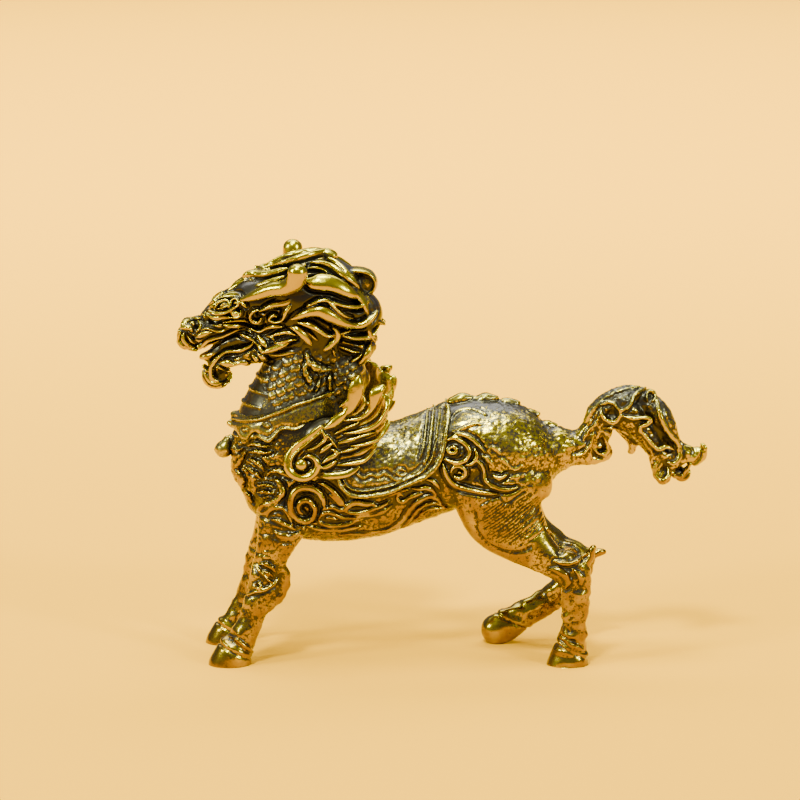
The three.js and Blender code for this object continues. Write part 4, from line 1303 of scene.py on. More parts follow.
    def _hooves(self, points: Array) -> Array:
        """The dark seam over each hoof and the fine lines across its plate.

        Args:
            points: points of the skin, in millimetres, one a row.

        Returns:
            How far each point is pushed, in millimetres, below 0 for inwards.
        """
        x, y, z = points.T
        amount = np.zeros(len(points))
        for at, sign, raised in self.feet:
            near = (np.abs(x - at) < self.foot_reach) & (y * sign > 0) & (z < self.foot_top + raised)
            seam = (z - raised) + 0.5 * (x - at) - 2.1
            amount += np.where(near, -0.16 * bump(seam / 0.3) + 0.08 * bump((seam - 0.5) / 0.35), 0.0)
        return amount

    def buried_and_shaded(self, points: Array) -> Array:
        """Dark around the leaves of the forelegs, below their knees and at the hocks.

        Args:
            points: points of the skin, in millimetres, one a row.

        Returns:
            One share for each point.
        """
        x, z = points[:, 0], points[:, 2]
        front = ramp(-x, 16.0, 18.0)
        upper = 0.5 * ramp(z, 16.0, 17.0) * ramp(-z, -23.0, -21.0)
        fore = front * (upper + 0.8 * ramp(-z, -13.3, -12.8)) + 0.25 * front
        hind = 0.8 * ramp(x, 11.0, 12.5) * ramp(-z, -15.5, -14.0)
        return (fore + hind) * ramp(z, 3.2, 4.2)

    def warmth(self, points: Array) -> Array:
        """Painted shade: browner and darker on the thighs and upper forelegs."""
        z = points[:, 2]
        return ramp(z, 12.5, 15.0) * ramp(-z, -23.5, -21.5)


@dataclass
class Tail(SubAssembly):
    """The tail that arches up, with a deep hollow down each side and curled locks."""

    stations: Stations = (
        (12.0, 0, 27.2, 2.6, 2.4),
        (15.6, 0, 26.6, 2.15, 2.0),
        (18.6, 0, 28.0, 2.0, 1.7),
        (20.2, 0, 31.0, 2.2, 2.0),
        (22.8, 0, 31.7, 2.9, 2.4),
        (25.5, 0, 30.4, 3.1, 2.5),
        (27.3, 0, 27.6, 2.5, 2.2),
        (28.6, 0, 25.4, 1.7, 1.7),
    )
    locks: Sequence[Stations] = (
        ((16.0, 0, 25.4, 1, 1.2), (18.8, 0, 25.3, 0.9, 1.1), (20.6, 0, 25.9, 0.7, 0.9),
         (20.5, 0, 27, 0.5, 0.6)),
        ((27.6, 0, 27.6, 1.3, 1.5), (29.8, 0, 26.1, 1.3, 1.3), (31.6, 0, 25.7, 1.1, 1),
         (32.65, 0, 26.6, 0.7, 0.7)),
        ((26.4, -0.9, 26.4, 0.9, 0.9), (26.8, -1.3, 24.2, 0.8, 0.8), (27.5, -1.4, 22.8, 0.7, 0.7),
         (28.4, -1.3, 23.4, 0.5, 0.5)),
        ((28.4, 0.6, 25.4, 0.9, 0.9), (29.5, 1.1, 23.7, 0.7, 0.8), (30.3, 1.2, 23.1, 0.6, 0.6),
         (31, 1.1, 24, 0.4, 0.4)),
        ((22.6, 0.8, 29, 0.9, 0.9), (23.7, 1.2, 27.2, 0.7, 0.8), (23.8, 1.2, 25.9, 0.5, 0.5),
         (23.3, 1.2, 25.9, 0.3, 0.3)),
    )
    hollow: Path = ((24.3, 33.2), (25.2, 31.9), (26.1, 30.0), (27.2, 28.4), (28.3, 26.9))
    cups: Sequence[tuple[float, float, float, float]] = (
        (20.9, 31.5, 0.8, 0.7),
        (19.6, 27.6, 0.75, 0.5),
        (27.3, 24.2, 0.5, 0.3),
        (29.8, 24.4, 0.5, 0.3),
        (28.5, 26.2, 0.6, 0.4),
        (31.4, 26.2, 0.6, 0.25),
    )

    def masses(self) -> list[Clay]:
        """The tail and its locks."""
        return [sweep(self.stations, fine=0.25)] + [sweep(lock, crest=1.7, fine=0.2) for lock in self.locks]

    def ribbons(self) -> list[Ribbon]:
        """The raised rims and ring curls.

        Returns:
            The ribbons, in the order in which they are laid.
        """

        def rim(*path: Spot, top: float = 0.36) -> Ribbon:
            """A raised rim."""
            return Ribbon(path, 2.5, top, foot=0.5, moat=0.25)

        return [
            rim((26.0, 34.4, 0.15), (26.45, 33.3, 0.32), (26.8, 32.0, 0.36), (27.3, 30.6, 0.36),
                (27.9, 29.4, 0.36), (28.7, 28.4, 0.36), (29.35, 27.6, 0.36), (29.5, 26.6, 0.36),
                (29.3, 25.7, 0.34), (28.7, 25.2, 0.3), (28.0, 25.45, 0.12)),
            rim((28.8, 26.9, 0.1), (28.2, 27.3, 0.24), (27.6, 27.35, 0.28), (26.9, 27.05, 0.3),
                (26.35, 27.45, 0.3), (25.75, 28.1, 0.3), (25.1, 28.85, 0.3), (24.5, 29.5, 0.3),
                (24.6, 30.0, 0.28), (25.2, 30.2, 0.28), (25.75, 30.45, 0.26), (25.75, 30.9, 0.26),
                (25.1, 31.1, 0.26), (24.1, 31.0, 0.26), (23.1, 31.1, 0.26), (22.3, 31.35, 0.1)),
            rim((25.2, 34.9, 0.12), (24.5, 34.5, 0.28), (23.7, 33.9, 0.3), (23.45, 33.4, 0.26),
                (23.3, 32.8, 0.26), (22.8, 32.3, 0.26), (22.1, 32.0, 0.26), (21.6, 32.4, 0.24),
                (21.2, 32.9, 0.26), (20.4, 33.05, 0.3), (19.6, 32.7, 0.1)),
            rim((19.6, 32.3, 0.1), (19.75, 31.4, 0.28), (20.3, 30.75, 0.32), (21.05, 30.45, 0.32),
                (21.7, 30.85, 0.3), (21.95, 31.5, 0.22), (21.8, 32.0, 0.06)),
            rim((25.35, 33.3, 0.08), (25.2, 33.8, 0.16), (25.45, 34.3, 0.19), (25.95, 34.4, 0.19),
                (26.25, 33.9, 0.19), (26.2, 33.4, 0.16), (25.85, 33.15, 0.08)),
            rim((20.4, 34.0, 0.1), (21.4, 34.4, 0.25), (22.4, 34.7, 0.32), (23.4, 34.9, 0.32),
                (24.4, 35.1, 0.2), top=0.2),
            rim((20.0, 29.75, 0.1), (21.2, 29.75, 0.26), (22.3, 29.4, 0.26), (23.1, 28.8, 0.08), top=0.24),
            rim((18.9, 27.0, 0.1), (19.2, 26.6, 0.24), (19.8, 26.4, 0.3), (20.4, 26.7, 0.32),
                (20.5, 27.4, 0.28), (20.2, 28.2, 0.22), (19.8, 28.8, 0.06)),
            rim((26.5, 25.3, 0.15), (26.35, 24.3, 0.32), (26.7, 23.4, 0.34), (27.4, 22.95, 0.34),
                (28.0, 23.5, 0.32), (28.1, 24.3, 0.2), (27.9, 24.9, 0.06)),
            rim((28.8, 24.7, 0.1), (28.95, 23.9, 0.28), (29.5, 23.3, 0.3), (30.2, 23.3, 0.3),
                (30.65, 23.9, 0.26), (30.6, 24.7, 0.1)),
            rim((31.2, 25.0, 0.1), (32.0, 25.5, 0.3), (32.5, 26.2, 0.34), (32.65, 27.0, 0.32),
                (32.45, 27.5, 0.25), (32.1, 27.5, 0.1)),
            rim((17.6, 30.4, 0.08), (18.3, 31.6, 0.24), (19.2, 32.8, 0.26), (20.2, 33.7, 0.22),
                (21.0, 34.0, 0.08), top=0.26),
            rim((17.4, 28.2, 0.08), (18.0, 29.4, 0.26), (18.9, 30.2, 0.28), (19.3, 31.2, 0.1), top=0.26),
            rim((16.2, 26.2, 0.08), (17.4, 26.5, 0.26), (18.2, 27.4, 0.26), (18.6, 28.6, 0.22),
                (18.7, 29.6, 0.06), top=0.26),
        ]

    def hollows(self, points: Array, normals: Array) -> Array:
        """The deep hollow down each side and the cups of the curls.

        Args:
            points: points of the skin, in millimetres, one a row.
            normals: the outward direction at each point.

        Returns:
            How far each point is pushed, in millimetres, below 0 for inwards.
        """
        deepest = 1.0 * bump(distance_to(points, self.hollow, 1.1) / 1.05)
        for x, z, size, depth in self.cups:
            away = np.hypot(points[:, 0] - x, points[:, 2] - z)
            deepest = np.maximum(deepest, depth * bump(away / size))
        return -deepest * outward(normals, points)

    def buried_and_shaded(self, points: Array) -> Array:
        """Dark in the hollows beyond the root."""
        return ramp(points[:, 0], 18.5, 20.5)

    def relief(self, points: Array, normals: Array) -> Array:
        """Uneven hair lines at the root.

        Args:
            points: points of the skin, in millimetres, one a row.
            normals: the outward direction at each point; not used here.

        Returns:
            How far each point is pushed out, in millimetres.
        """
        x, z = points[:, 0], points[:, 2]
        root = ramp(x, 13.5, 15.0) * ramp(-x, -22.0, -19.0)
        return 0.12 * Grain(0.8, 41).at(points * [0.45, 1, 1.2]) * root


@dataclass
class Head(SubAssembly):
    """The dragon's head: snout, open mouth with its tongue, brows, eyes and beard."""

    snout: Stations = (
        (-31.75, 0, 41.1, 1.5, 1.7),
        (-30.6, 0, 41.5, 1.75, 2.1),
        (-28.3, 0, 42.4, 1.7, 2.3),
        (-26.0, 0, 44.2, 2.2, 3.0),
        (-23.5, 0, 45.4, 3.1, 3.7),
        (-20.5, 0, 45.2, 3.9, 4.3),
        (-18.0, 0, 44.6, 4.0, 4.4),
    )
    forehead: Stations = (
        (-30.2, 0, 43.0, 0.5, 1.2),
        (-29.3, 0, 43.8, 0.7, 1.6),
        (-28.0, 0, 45.0, 0.9, 1.9),
        (-26.5, 0, 46.1, 0.9, 2.0),
        (-25.0, 0, 46.8, 0.7, 1.8),
    )
    lower_jaw: Stations = (
        (-29.0, 0, 36.9, 0.75, 1.3),
        (-27.6, 0, 37.8, 1.05, 2.0),
        (-25.4, 0, 38.5, 1.15, 2.6),
        (-23.0, 0, 39.2, 1.6, 3.1),
        (-20.2, 0, 40.6, 2.6, 3.7),
        (-18.2, 0, 41.4, 3.2, 4.0),
    )
    mouth_floor: Stations = (
        (-28.4, 0, 39.7, 0.5, 0.9),
        (-27.2, 0, 40.1, 0.8, 1.4),
        (-25.4, 0, 40.7, 1.1, 1.8),
        (-23.4, 0, 41.1, 1.5, 2.3),
        (-21.0, 0, 41.6, 1.8, 3.0),
    )
    tongue: Stations = (
        (-30.2, 0, 38.3, 0.4, 0.6),
        (-28.8, 0, 38.6, 0.75, 1.3),
        (-26.8, 0, 39.3, 0.8, 1.5),
    )
    beard: Stations = (
        (-28.2, 0, 37.3, 1.0, 1.2),
        (-29.2, 0, 36.2, 1.0, 1.2),
        (-28.9, 0, 35.2, 0.9, 1.1),
        (-27.7, 0, 35.1, 0.8, 1.0),
        (-27.2, 0, 36.1, 0.75, 0.8),
        (-27.7, 0, 36.6, 0.6, 0.7),
    )

    lip: Lump = ((-32.1, 0, 40.2), (1.05, 1.5, 1.0))
    nostril: Lump = ((-31.5, 1.1, 42.4), (0.95, 0.8, 0.8))
    brow: Lump = ((-27.2, 1.9, 44.75), (1.9, 1.15, 1.3))
    eyeball: Lump = ((-25.7, 3.05, 44.35), (0.6, 0.45, 0.36))
    pits: Sequence[tuple[float, float, float, float, float]] = (
        (-25.9, 44.5, 1.2, 0.6, 0.45),
        (-30.5, 42.5, 0.55, 0.5, 0.7),
        (-28.8, 43.2, 1.8, 0.6, 0.5),
        (-31.4, 40.9, 0.7, 0.7, 0.45),
        (-27.3, 35.8, 0.8, 0.8, 0.5),
        (-21.0, 44.0, 1.1, 1.0, 0.5),
        (-23.2, 44.0, 0.7, 0.7, 0.45),
        (-26.0, 38.8, 2.4, 0.5, 0.4),
    )

    def masses(self) -> list[Clay]:
        """Snout, jaw, tongue, lip, nostrils, brows and beard.

        Returns:
            The forms.
        """
        forms = (self.snout, self.forehead, self.lower_jaw, self.mouth_floor, self.tongue, self.beard)
        made = [sweep(form, fine=0.2) for form in forms]
        made.append(ball(self.lip[0], *self.lip[1]))
        return made + [lump_on(side, lump) for side in Side for lump in (self.nostril, self.brow)]

    def extras(self, surface: Surface) -> list[Clay]:
        """The eyeballs."""
        return [lump_on(side, self.eyeball) for side in Side]

    def ribbons(self) -> list[Ribbon]:
        """Nose, lips, brows, cheek, the curls beside the eye and the tufts behind the mouth.

        Returns:
            The ribbons, in the order in which they are laid.
        """

        def line(*path: Spot, top: float = 0.32, plane: float = 4.0) -> Ribbon:
            """A fine ridge of the face."""
            return Ribbon(widened(path, 1.2), plane, top, foot=0.5, moat=0.38)

        def wide(*path: Spot, top: float = 0.5) -> Ribbon:
            """A broad ridge behind the mouth or beside the eye."""
            return Ribbon(widened(path, 1.25), 6.0, top, foot=0.65, moat=0.5)

        nose = [
            line((-32.3, 42.85, 0.25), (-32.05, 43.35, 0.45), (-31.5, 43.7, 0.45), (-30.8, 43.9, 0.3),
                 (-30, 43.95, 0.1)),
            line((-32.25, 42.75, 0.2), (-31.6, 42.8, 0.28), (-31.15, 42.6, 0.2),
                 (-31.0, 42.3, 0.08), top=0.42),
            line((-30.3, 43.6, 0.08), (-29.95, 43.2, 0.13), (-30.1, 42.65, 0.13),
                 (-30.5, 42.2, 0.08), top=0.25),
            line((-32.4, 42.2, 0.1), (-32.65, 41.7, 0.17), (-32.65, 41.1, 0.18), (-32.3, 40.6, 0.18),
                 (-31.8, 40.3, 0.16), (-31.2, 40.0, 0.14), (-30.4, 39.85, 0.08), top=0.25),
            line((-32.0, 42.1, 0.08), (-32.15, 41.6, 0.2), (-32.05, 41.1, 0.22), (-31.65, 40.7, 0.22),
                 (-31.1, 40.4, 0.2), (-30.5, 40.25, 0.2), (-29.95, 40.4, 0.15), top=0.36),
            line((-31.6, 41.7, 0.05), (-31.2, 41.1, 0.12), (-30.7, 40.7, 0.05), top=0.15),
            line((-30.5, 41.6, 0.08), (-30.0, 41.8, 0.32), (-29.45, 42.0, 0.3), (-28.95, 42.15, 0.18),
                 (-28.6, 42.2, 0.05)),
            line((-29.9, 42.45, 0.05), (-29.3, 42.65, 0.11), (-28.7, 42.55, 0.11), (-28.1, 42.32, 0.1),
                 (-27.4, 42.3, 0.1), (-27.0, 42.5, 0.04), top=0.22),
        ]
        mouth = [
            line((-30.2, 40.2, 0.15), (-29.55, 40.8, 0.2), (-29.05, 41.2, 0.2), (-28.4, 41.45, 0.2),
                 (-27.65, 41.65, 0.22), (-27, 41.9, 0.24), (-26.3, 42.2, 0.22), (-25.55, 42.45, 0.2),
                 (-24.8, 42.5, 0.16), (-24.1, 42.35, 0.12), (-23.5, 41.9, 0.05), top=0.36),
            line((-29.8, 40.2, 0.08), (-29, 40.7, 0.12), (-28.2, 40.9, 0.12),
                 (-27.5, 41.25, 0.06), top=0.2),
            line((-25.3, 42.0, 0.05), (-24.8, 41.8, 0.15), (-24.2, 41.55, 0.2), (-23.65, 41.3, 0.17),
                 (-23.3, 41.0, 0.08)),
            line((-23.4, 40.9, 0.08), (-23.8, 40.4, 0.16), (-24.35, 40.1, 0.2), (-25, 39.85, 0.2),
                 (-25.65, 39.75, 0.18), (-26.3, 39.75, 0.17), (-27, 39.6, 0.17), (-27.45, 39.3, 0.18),
                 (-27.85, 38.9, 0.2), (-28.2, 38.6, 0.24), (-28.5, 38.2, 0.25), (-28.75, 37.75, 0.23),
                 (-28.8, 37.05, 0.24), (-28.7, 36.5, 0.25), (-28.3, 36.15, 0.2),
                 (-27.9, 36.0, 0.12), top=0.36),
        ]
        beard = [
            line((-29.7, 38.1, 0.12), (-29.5, 37.7, 0.16), (-29.2, 37.3, 0.12)),
            line((-29.5, 37.05, 0.15), (-29.15, 36.4, 0.25), (-28.7, 35.85, 0.22), (-28, 35.65, 0.18),
                 (-27.5, 35.8, 0.1)),
            line((-28, 37.9, 0.1), (-27.45, 37.7, 0.13), (-26.9, 37.5, 0.13), (-26.4, 37.4, 0.08)),
            line((-26.35, 37.2, 0.06), (-26.35, 36.6, 0.12), (-26.6, 36.0, 0.12), (-27.1, 35.7, 0.08)),
            line((-27.6, 38.3, 0.12), (-27.1, 38.3, 0.36), (-26.5, 38.2, 0.44), (-25.95, 38.1, 0.22),
                 (-25.5, 38.25, 0.12), (-24.95, 38.35, 0.25), (-24.4, 38.3, 0.36),
                 (-23.95, 38.2, 0.12), top=0.4),
            line((-23.6, 39.3, 0.12), (-23.1, 38.8, 0.28), (-22.65, 38.4, 0.1)),
            line((-22.95, 39.5, 0.1), (-22.45, 39.1, 0.3), (-21.95, 38.75, 0.28), (-21.6, 38.55, 0.06)),
        ]
        cheek = [
            line((-27.1, 43.15, 0.05), (-26.5, 43.05, 0.22), (-25.65, 43.05, 0.26), (-24.9, 43.1, 0.24),
                 (-24.3, 42.95, 0.2), (-23.85, 42.65, 0.17), (-23.3, 42.35, 0.15), (-22.7, 42.2, 0.16),
                 (-22.25, 42.4, 0.2), (-21.8, 42.75, 0.23), (-21.2, 42.95, 0.23), (-20.55, 43, 0.2),
                 (-19.9, 42.9, 0.06), top=0.42),
            line((-27.2, 43.4, 0.04), (-26, 43.6, 0.1), (-25, 43.68, 0.12), (-24.2, 43.55, 0.12),
                 (-23.5, 42.95, 0.05), top=0.2),
            line((-22.85, 45.0, 0.08), (-23.4, 44.85, 0.17), (-23.8, 44.35, 0.2), (-23.7, 43.8, 0.2),
                 (-23.2, 43.5, 0.2), (-22.7, 43.55, 0.18), (-22.45, 43.95, 0.1), top=0.38),
            line((-23.3, 41.0, 0.1), (-22.8, 40.5, 0.22), (-22.5, 39.9, 0.22), (-22.2, 39.5, 0.08)),
            line((-22.9, 41.8, 0.12), (-22.5, 41.25, 0.33), (-22.15, 40.75, 0.33),
                 (-21.85, 40.35, 0.12), top=0.38),
            line((-21.9, 41.65, 0.05), (-21.2, 41.55, 0.15), (-20.9, 41.2, 0.06)),
        ]
        brow = [
            line((-29.2, 44.55, 0.1), (-28.6, 44.15, 0.28), (-28, 44.0, 0.32), (-27.35, 44.1, 0.25),
                 (-26.7, 44.08, 0.15), (-26.1, 44.0, 0.06), top=0.4),
            line((-28.9, 44.9, 0.08), (-28.2, 44.62, 0.2), (-27.45, 44.62, 0.2), (-26.9, 44.7, 0.18),
                 (-26.3, 44.95, 0.18), (-25.75, 45.25, 0.15), (-25.2, 45.5, 0.05), top=0.45),
            line((-26.15, 44.12, 0.05), (-25.55, 44.1, 0.12), (-25.05, 44.4, 0.12),
                 (-24.95, 44.85, 0.06), top=0.42),
            line((-28.2, 45.1, 0.06), (-27.9, 45.6, 0.12), (-27.4, 46.0, 0.13), (-26.8, 46.1, 0.13),
                 (-26.5, 45.8, 0.12), (-26.8, 45.4, 0.11), (-27.4, 45.2, 0.1),
                 (-27.9, 45.1, 0.05), top=0.38),
            line((-27.55, 45.45, 0.05), (-27.15, 45.65, 0.16), (-26.8, 45.72, 0.05), top=0.25),
            line((-26.5, 45.3, 0.08), (-26.15, 45.75, 0.13), (-26.0, 46.2, 0.13), (-25.5, 46.3, 0.13),
                 (-25.15, 45.95, 0.12), (-25.35, 45.5, 0.1), (-25.8, 45.35, 0.06), top=0.4),
            line((-25.75, 45.8, 0.12), (-25.55, 45.88, 0.18), (-25.4, 45.8, 0.1), top=0.3),
            line((-25.05, 46.0, 0.1), (-24.65, 45.7, 0.24), (-24.3, 45.3, 0.06), top=0.35),
            line((-28.9, 45.6, 0.05), (-28.2, 46.1, 0.12), (-27.6, 46.7, 0.12),
                 (-27.1, 47.15, 0.05), top=0.25),
            line((-27.6, 46.5, 0.1), (-27.0, 46.75, 0.3), (-26.2, 46.9, 0.45), (-25.4, 46.8, 0.42),
                 (-24.9, 46.5, 0.15), top=0.2),
        ]
        tufts = [
            wide((-21.4, 42.0, 0.06), (-20.7, 42.2, 0.17), (-19.8, 42.45, 0.22), (-19.1, 42.55, 0.25),
                 (-18.5, 42.35, 0.18), (-18.05, 42.1, 0.04), top=0.4),
            wide((-20.8, 41.2, 0.06), (-19.85, 41.35, 0.16), (-19, 41.55, 0.17),
                 (-18.1, 41.7, 0.05), top=0.4),
            wide((-22.2, 40.05, 0.12), (-21.7, 40.25, 0.3), (-20.9, 40.5, 0.35), (-19.95, 40.85, 0.32),
                 (-19.1, 41.2, 0.06),
                 top=0.45),
            wide((-21.55, 39.85, 0.05), (-20.45, 39.8, 0.15), (-19.45, 40, 0.2), (-18.6, 40.2, 0.22),
                 (-17.9, 40.1, 0.18), (-17.15, 39.8, 0.04), top=0.4),
            wide((-22.6, 45.2, 0.08), (-21.5, 45.7, 0.26), (-20.7, 46.0, 0.3), (-19.85, 46.1, 0.34),
                 (-19.1, 46.35, 0.38), (-18.65, 46.9, 0.28), (-18.55, 47.3, 0.05), top=0.6),
            wide((-18.6, 46.5, 0.1), (-18.85, 45.8, 0.26), (-19.35, 45.2, 0.28), (-19.6, 44.5, 0.2),
                 (-19.95, 44.05, 0.15), (-20.7, 43.85, 0.12), (-21.4, 43.95, 0.06), top=0.5),
            wide((-20.5, 44.55, 0.08), (-20.9, 44.72, 0.17), (-21.3, 44.45, 0.18), (-21.4, 44.15, 0.15),
                 (-21.1, 44.0, 0.08),
                 top=0.4),
        ]
        return nose + mouth + beard + cheek + brow + tufts

    def hollows(self, points: Array, normals: Array) -> Array:
        """Eye sockets, nostrils, the cheek and the beard's hollow.

        Args:
            points: points of the skin, in millimetres, one a row.
            normals: the outward direction at each point.

        Returns:
            How far each point is pushed, in millimetres, below 0 for inwards.
        """
        side = outward(normals, points)
        total = np.zeros(len(points))
        for x, z, long, tall, deep in self.pits:
            total += -deep * bump(np.hypot((points[:, 0] - x) / long, (points[:, 2] - z) / tall)) * side
        return total


@dataclass
class Mane(SubAssembly):
    """The swept-back mane, its deep-cut locks, the ears and the curl at the nape."""

    stations: Stations = (
        (-23.6, 0, 46.3, 2.2, 2.3),
        (-20.6, 0, 46.8, 3.3, 3.9),
        (-17.4, 0, 46.0, 4.9, 5.0),
        (-14.6, 0, 45.0, 5.7, 5.2),
        (-12.2, 0, 44.1, 4.9, 4.6),
        (-10.8, 0, 43.7, 3.3, 3.3),
    )
    ear: Stations = (
        (-24.8, 3.0, 46.1, 0.35, 0.5),
        (-22.9, 3.9, 46.9, 0.75, 0.85),
        (-21.2, 4.5, 47.6, 0.9, 0.95),
        (-19.5, 5.2, 47.95, 1.0, 1.05),
        (-18.3, 5.9, 48.7, 1.2, 1.1),
        (-17.95, 6.4, 49.6, 1.25, 1.1),
        (-17.9, 6.6, 50.1, 1.25, 1.1),
    )
    right_ear_forward: float = 1.0
    right_ear_higher: float = 0.9
    nape_curl: Stations = (
        (-13.0, 0, 48.9, 0.4, 1.4),
        (-11.5, 0, 49.3, 0.4, 1.45),
        (-10.0, 0, 49.25, 0.38, 1.45),
        (-8.95, 0, 48.75, 0.36, 1.4),
        (-8.45, 0, 47.8, 0.32, 1.3),
        (-8.75, 0, 46.8, 0.3, 1.1),
        (-9.5, 0, 46.35, 0.25, 0.9),
    )
    back_locks: Sequence[Stations] = (
        ((-12.6, 2.2, 48.6, 0.5, 0.8), (-10.6, 2.5, 46.6, 0.6, 0.9), (-9.4, 2.1, 44.2, 0.55, 0.9),
         (-9.3, 1.7, 42.0, 0.45, 0.8), (-8.5, 1.5, 40.5, 0.2, 0.3)),
        ((-11.6, 1.2, 47.2, 0.5, 0.8), (-9.2, 1.5, 45.4, 0.6, 0.9), (-8.4, 1.1, 43.3, 0.5, 0.8),
         (-7.3, 0.9, 42.6, 0.15, 0.25)),
        ((-10.6, 0.6, 43.6, 0.5, 0.8), (-9.2, 0.8, 41.6, 0.5, 0.8), (-8.3, 0.6, 40.6, 0.15, 0.25)),
    )

    lumps: Sequence[Lump] = (
        ((-13.0, 0, 41.2), (3.3, 3.9, 3.2)),
        ((-10.9, 0, 39.6), (2.4, 3.0, 2.0)),
        ((-16.6, 0, 49.1), (4.6, 3.2, 2.45)),
    )
    curl_heart: Lump = ((-10.0, 0, 47.6), (1.6, 0.8, 1.3))

    def masses(self) -> list[Clay]:
        """The mass under the locks, down the nape and up to the crown."""
        return [sweep(self.stations, fine=0.25)] + [ball(at, *radii) for at, radii in self.lumps]

    def extras(self, surface: Surface) -> list[Clay]:
        """The ears, the nape curl and the locks behind.

        Args:
            surface: the core that the forms stand on; not used here.

        Returns:
            The forms.
        """
        made = [sweep(self.nape_curl, fine=0.2), ball(self.curl_heart[0], *self.curl_heart[1])]
        for side in Side:
            forward = self.right_ear_forward if side is Side.RIGHT else 0.0
            placed = [[x - forward, side.value * y, z, *rest] for x, y, z, *rest in self.ear]
            if side is Side.RIGHT:
                placed[-1][2] += self.right_ear_higher
            made.append(sweep(placed, fine=0.2))
            for lock in self.back_locks:
                placed = [[x, side.value * y, *rest] for x, y, *rest in lock]
                made.append(sweep(placed, crest=1.6, fine=0.2))
        return made

    def ribbons(self) -> list[Ribbon]:
        """The locks on each side, from the forehead to the nape.

        Returns:
            The ribbons, in the order in which they are laid.
        """

        def lock(*path: Spot, top: float = 0.62, plane: float = 6.0) -> Ribbon:
            """A lock with a deep gap around it."""
            return Ribbon(widened(path, 1.34), plane, top, foot=0.85, crest=2.3, moat=0.75)

        forehead = [
            lock((-26.6, 47.1, 0.15), (-25.9, 47.6, 0.42), (-25.3, 48.1, 0.55), (-24.6, 48.5, 0.55),
                 (-23.95, 48.6, 0.42), (-23.4, 48.4, 0.22), (-22.95, 48.05, 0.05), plane=3.0, top=0.45),
            lock((-26.4, 46.9, 0.1), (-25.7, 47.1, 0.25), (-24.8, 47.35, 0.28), (-24.0, 47.6, 0.25),
                 (-23.2, 47.75, 0.06),
                 plane=3.0, top=0.3),
            lock((-24.7, 49.0, 0.12), (-24.1, 49.25, 0.45), (-23.4, 49.35, 0.55), (-22.6, 49.3, 0.5),
                 (-21.8, 49.3, 0.38), (-20.9, 49.5, 0.34), (-20.1, 49.75, 0.3),
                 (-19.3, 49.95, 0.12), plane=3.0, top=0.5),
            lock((-24.1, 47.3, 0.1), (-22.8, 48.1, 0.3), (-21.35, 48.6, 0.34), (-20.3, 49.0, 0.26),
                 (-19.6, 49.3, 0.08),
                 plane=5.0, top=0.45),
            lock((-23.4, 50.0, 0.08), (-22.8, 49.85, 0.16), (-22.1, 49.7, 0.16),
                 (-21.4, 49.75, 0.06), plane=3.0, top=0.62),
        ]
        crown = [
            lock((-22.4, 50.45, 0.06), (-21.6, 50.9, 0.14), (-20.7, 51.45, 0.16), (-19.7, 51.9, 0.18),
                 (-18.25, 52.2, 0.22), (-16.8, 52.55, 0.22), (-15.5, 52.8, 0.1), top=0.4),
            lock((-22.3, 50.35, 0.08), (-21.2, 50.7, 0.18), (-20.3, 50.95, 0.22), (-19, 51.35, 0.26),
                 (-17.75, 51.7, 0.3), (-16.5, 52.05, 0.34), (-15.3, 52.35, 0.36), (-14.35, 52.45, 0.35),
                 (-13.6, 52.2, 0.28), (-13.25, 51.8, 0.12)),
            lock((-14.2, 51.7, 0.1), (-13.5, 51.25, 0.22), (-12.75, 50.6, 0.28), (-11.95, 49.75, 0.3),
                 (-11.25, 48.95, 0.25), (-10.7, 48.25, 0.08)),
            lock((-16.4, 51.2, 0.06), (-15.2, 51.15, 0.18), (-14.2, 50.85, 0.26), (-13.35, 50.3, 0.3),
                 (-12.6, 49.7, 0.3), (-11.8, 49.05, 0.28), (-11.0, 48.45, 0.2), (-10.5, 48.0, 0.06)),
            lock((-16.7, 50.5, 0.06), (-15.9, 50.55, 0.14), (-15, 50.4, 0.1),
                 (-14.4, 50.1, 0.04), top=0.35),
        ]
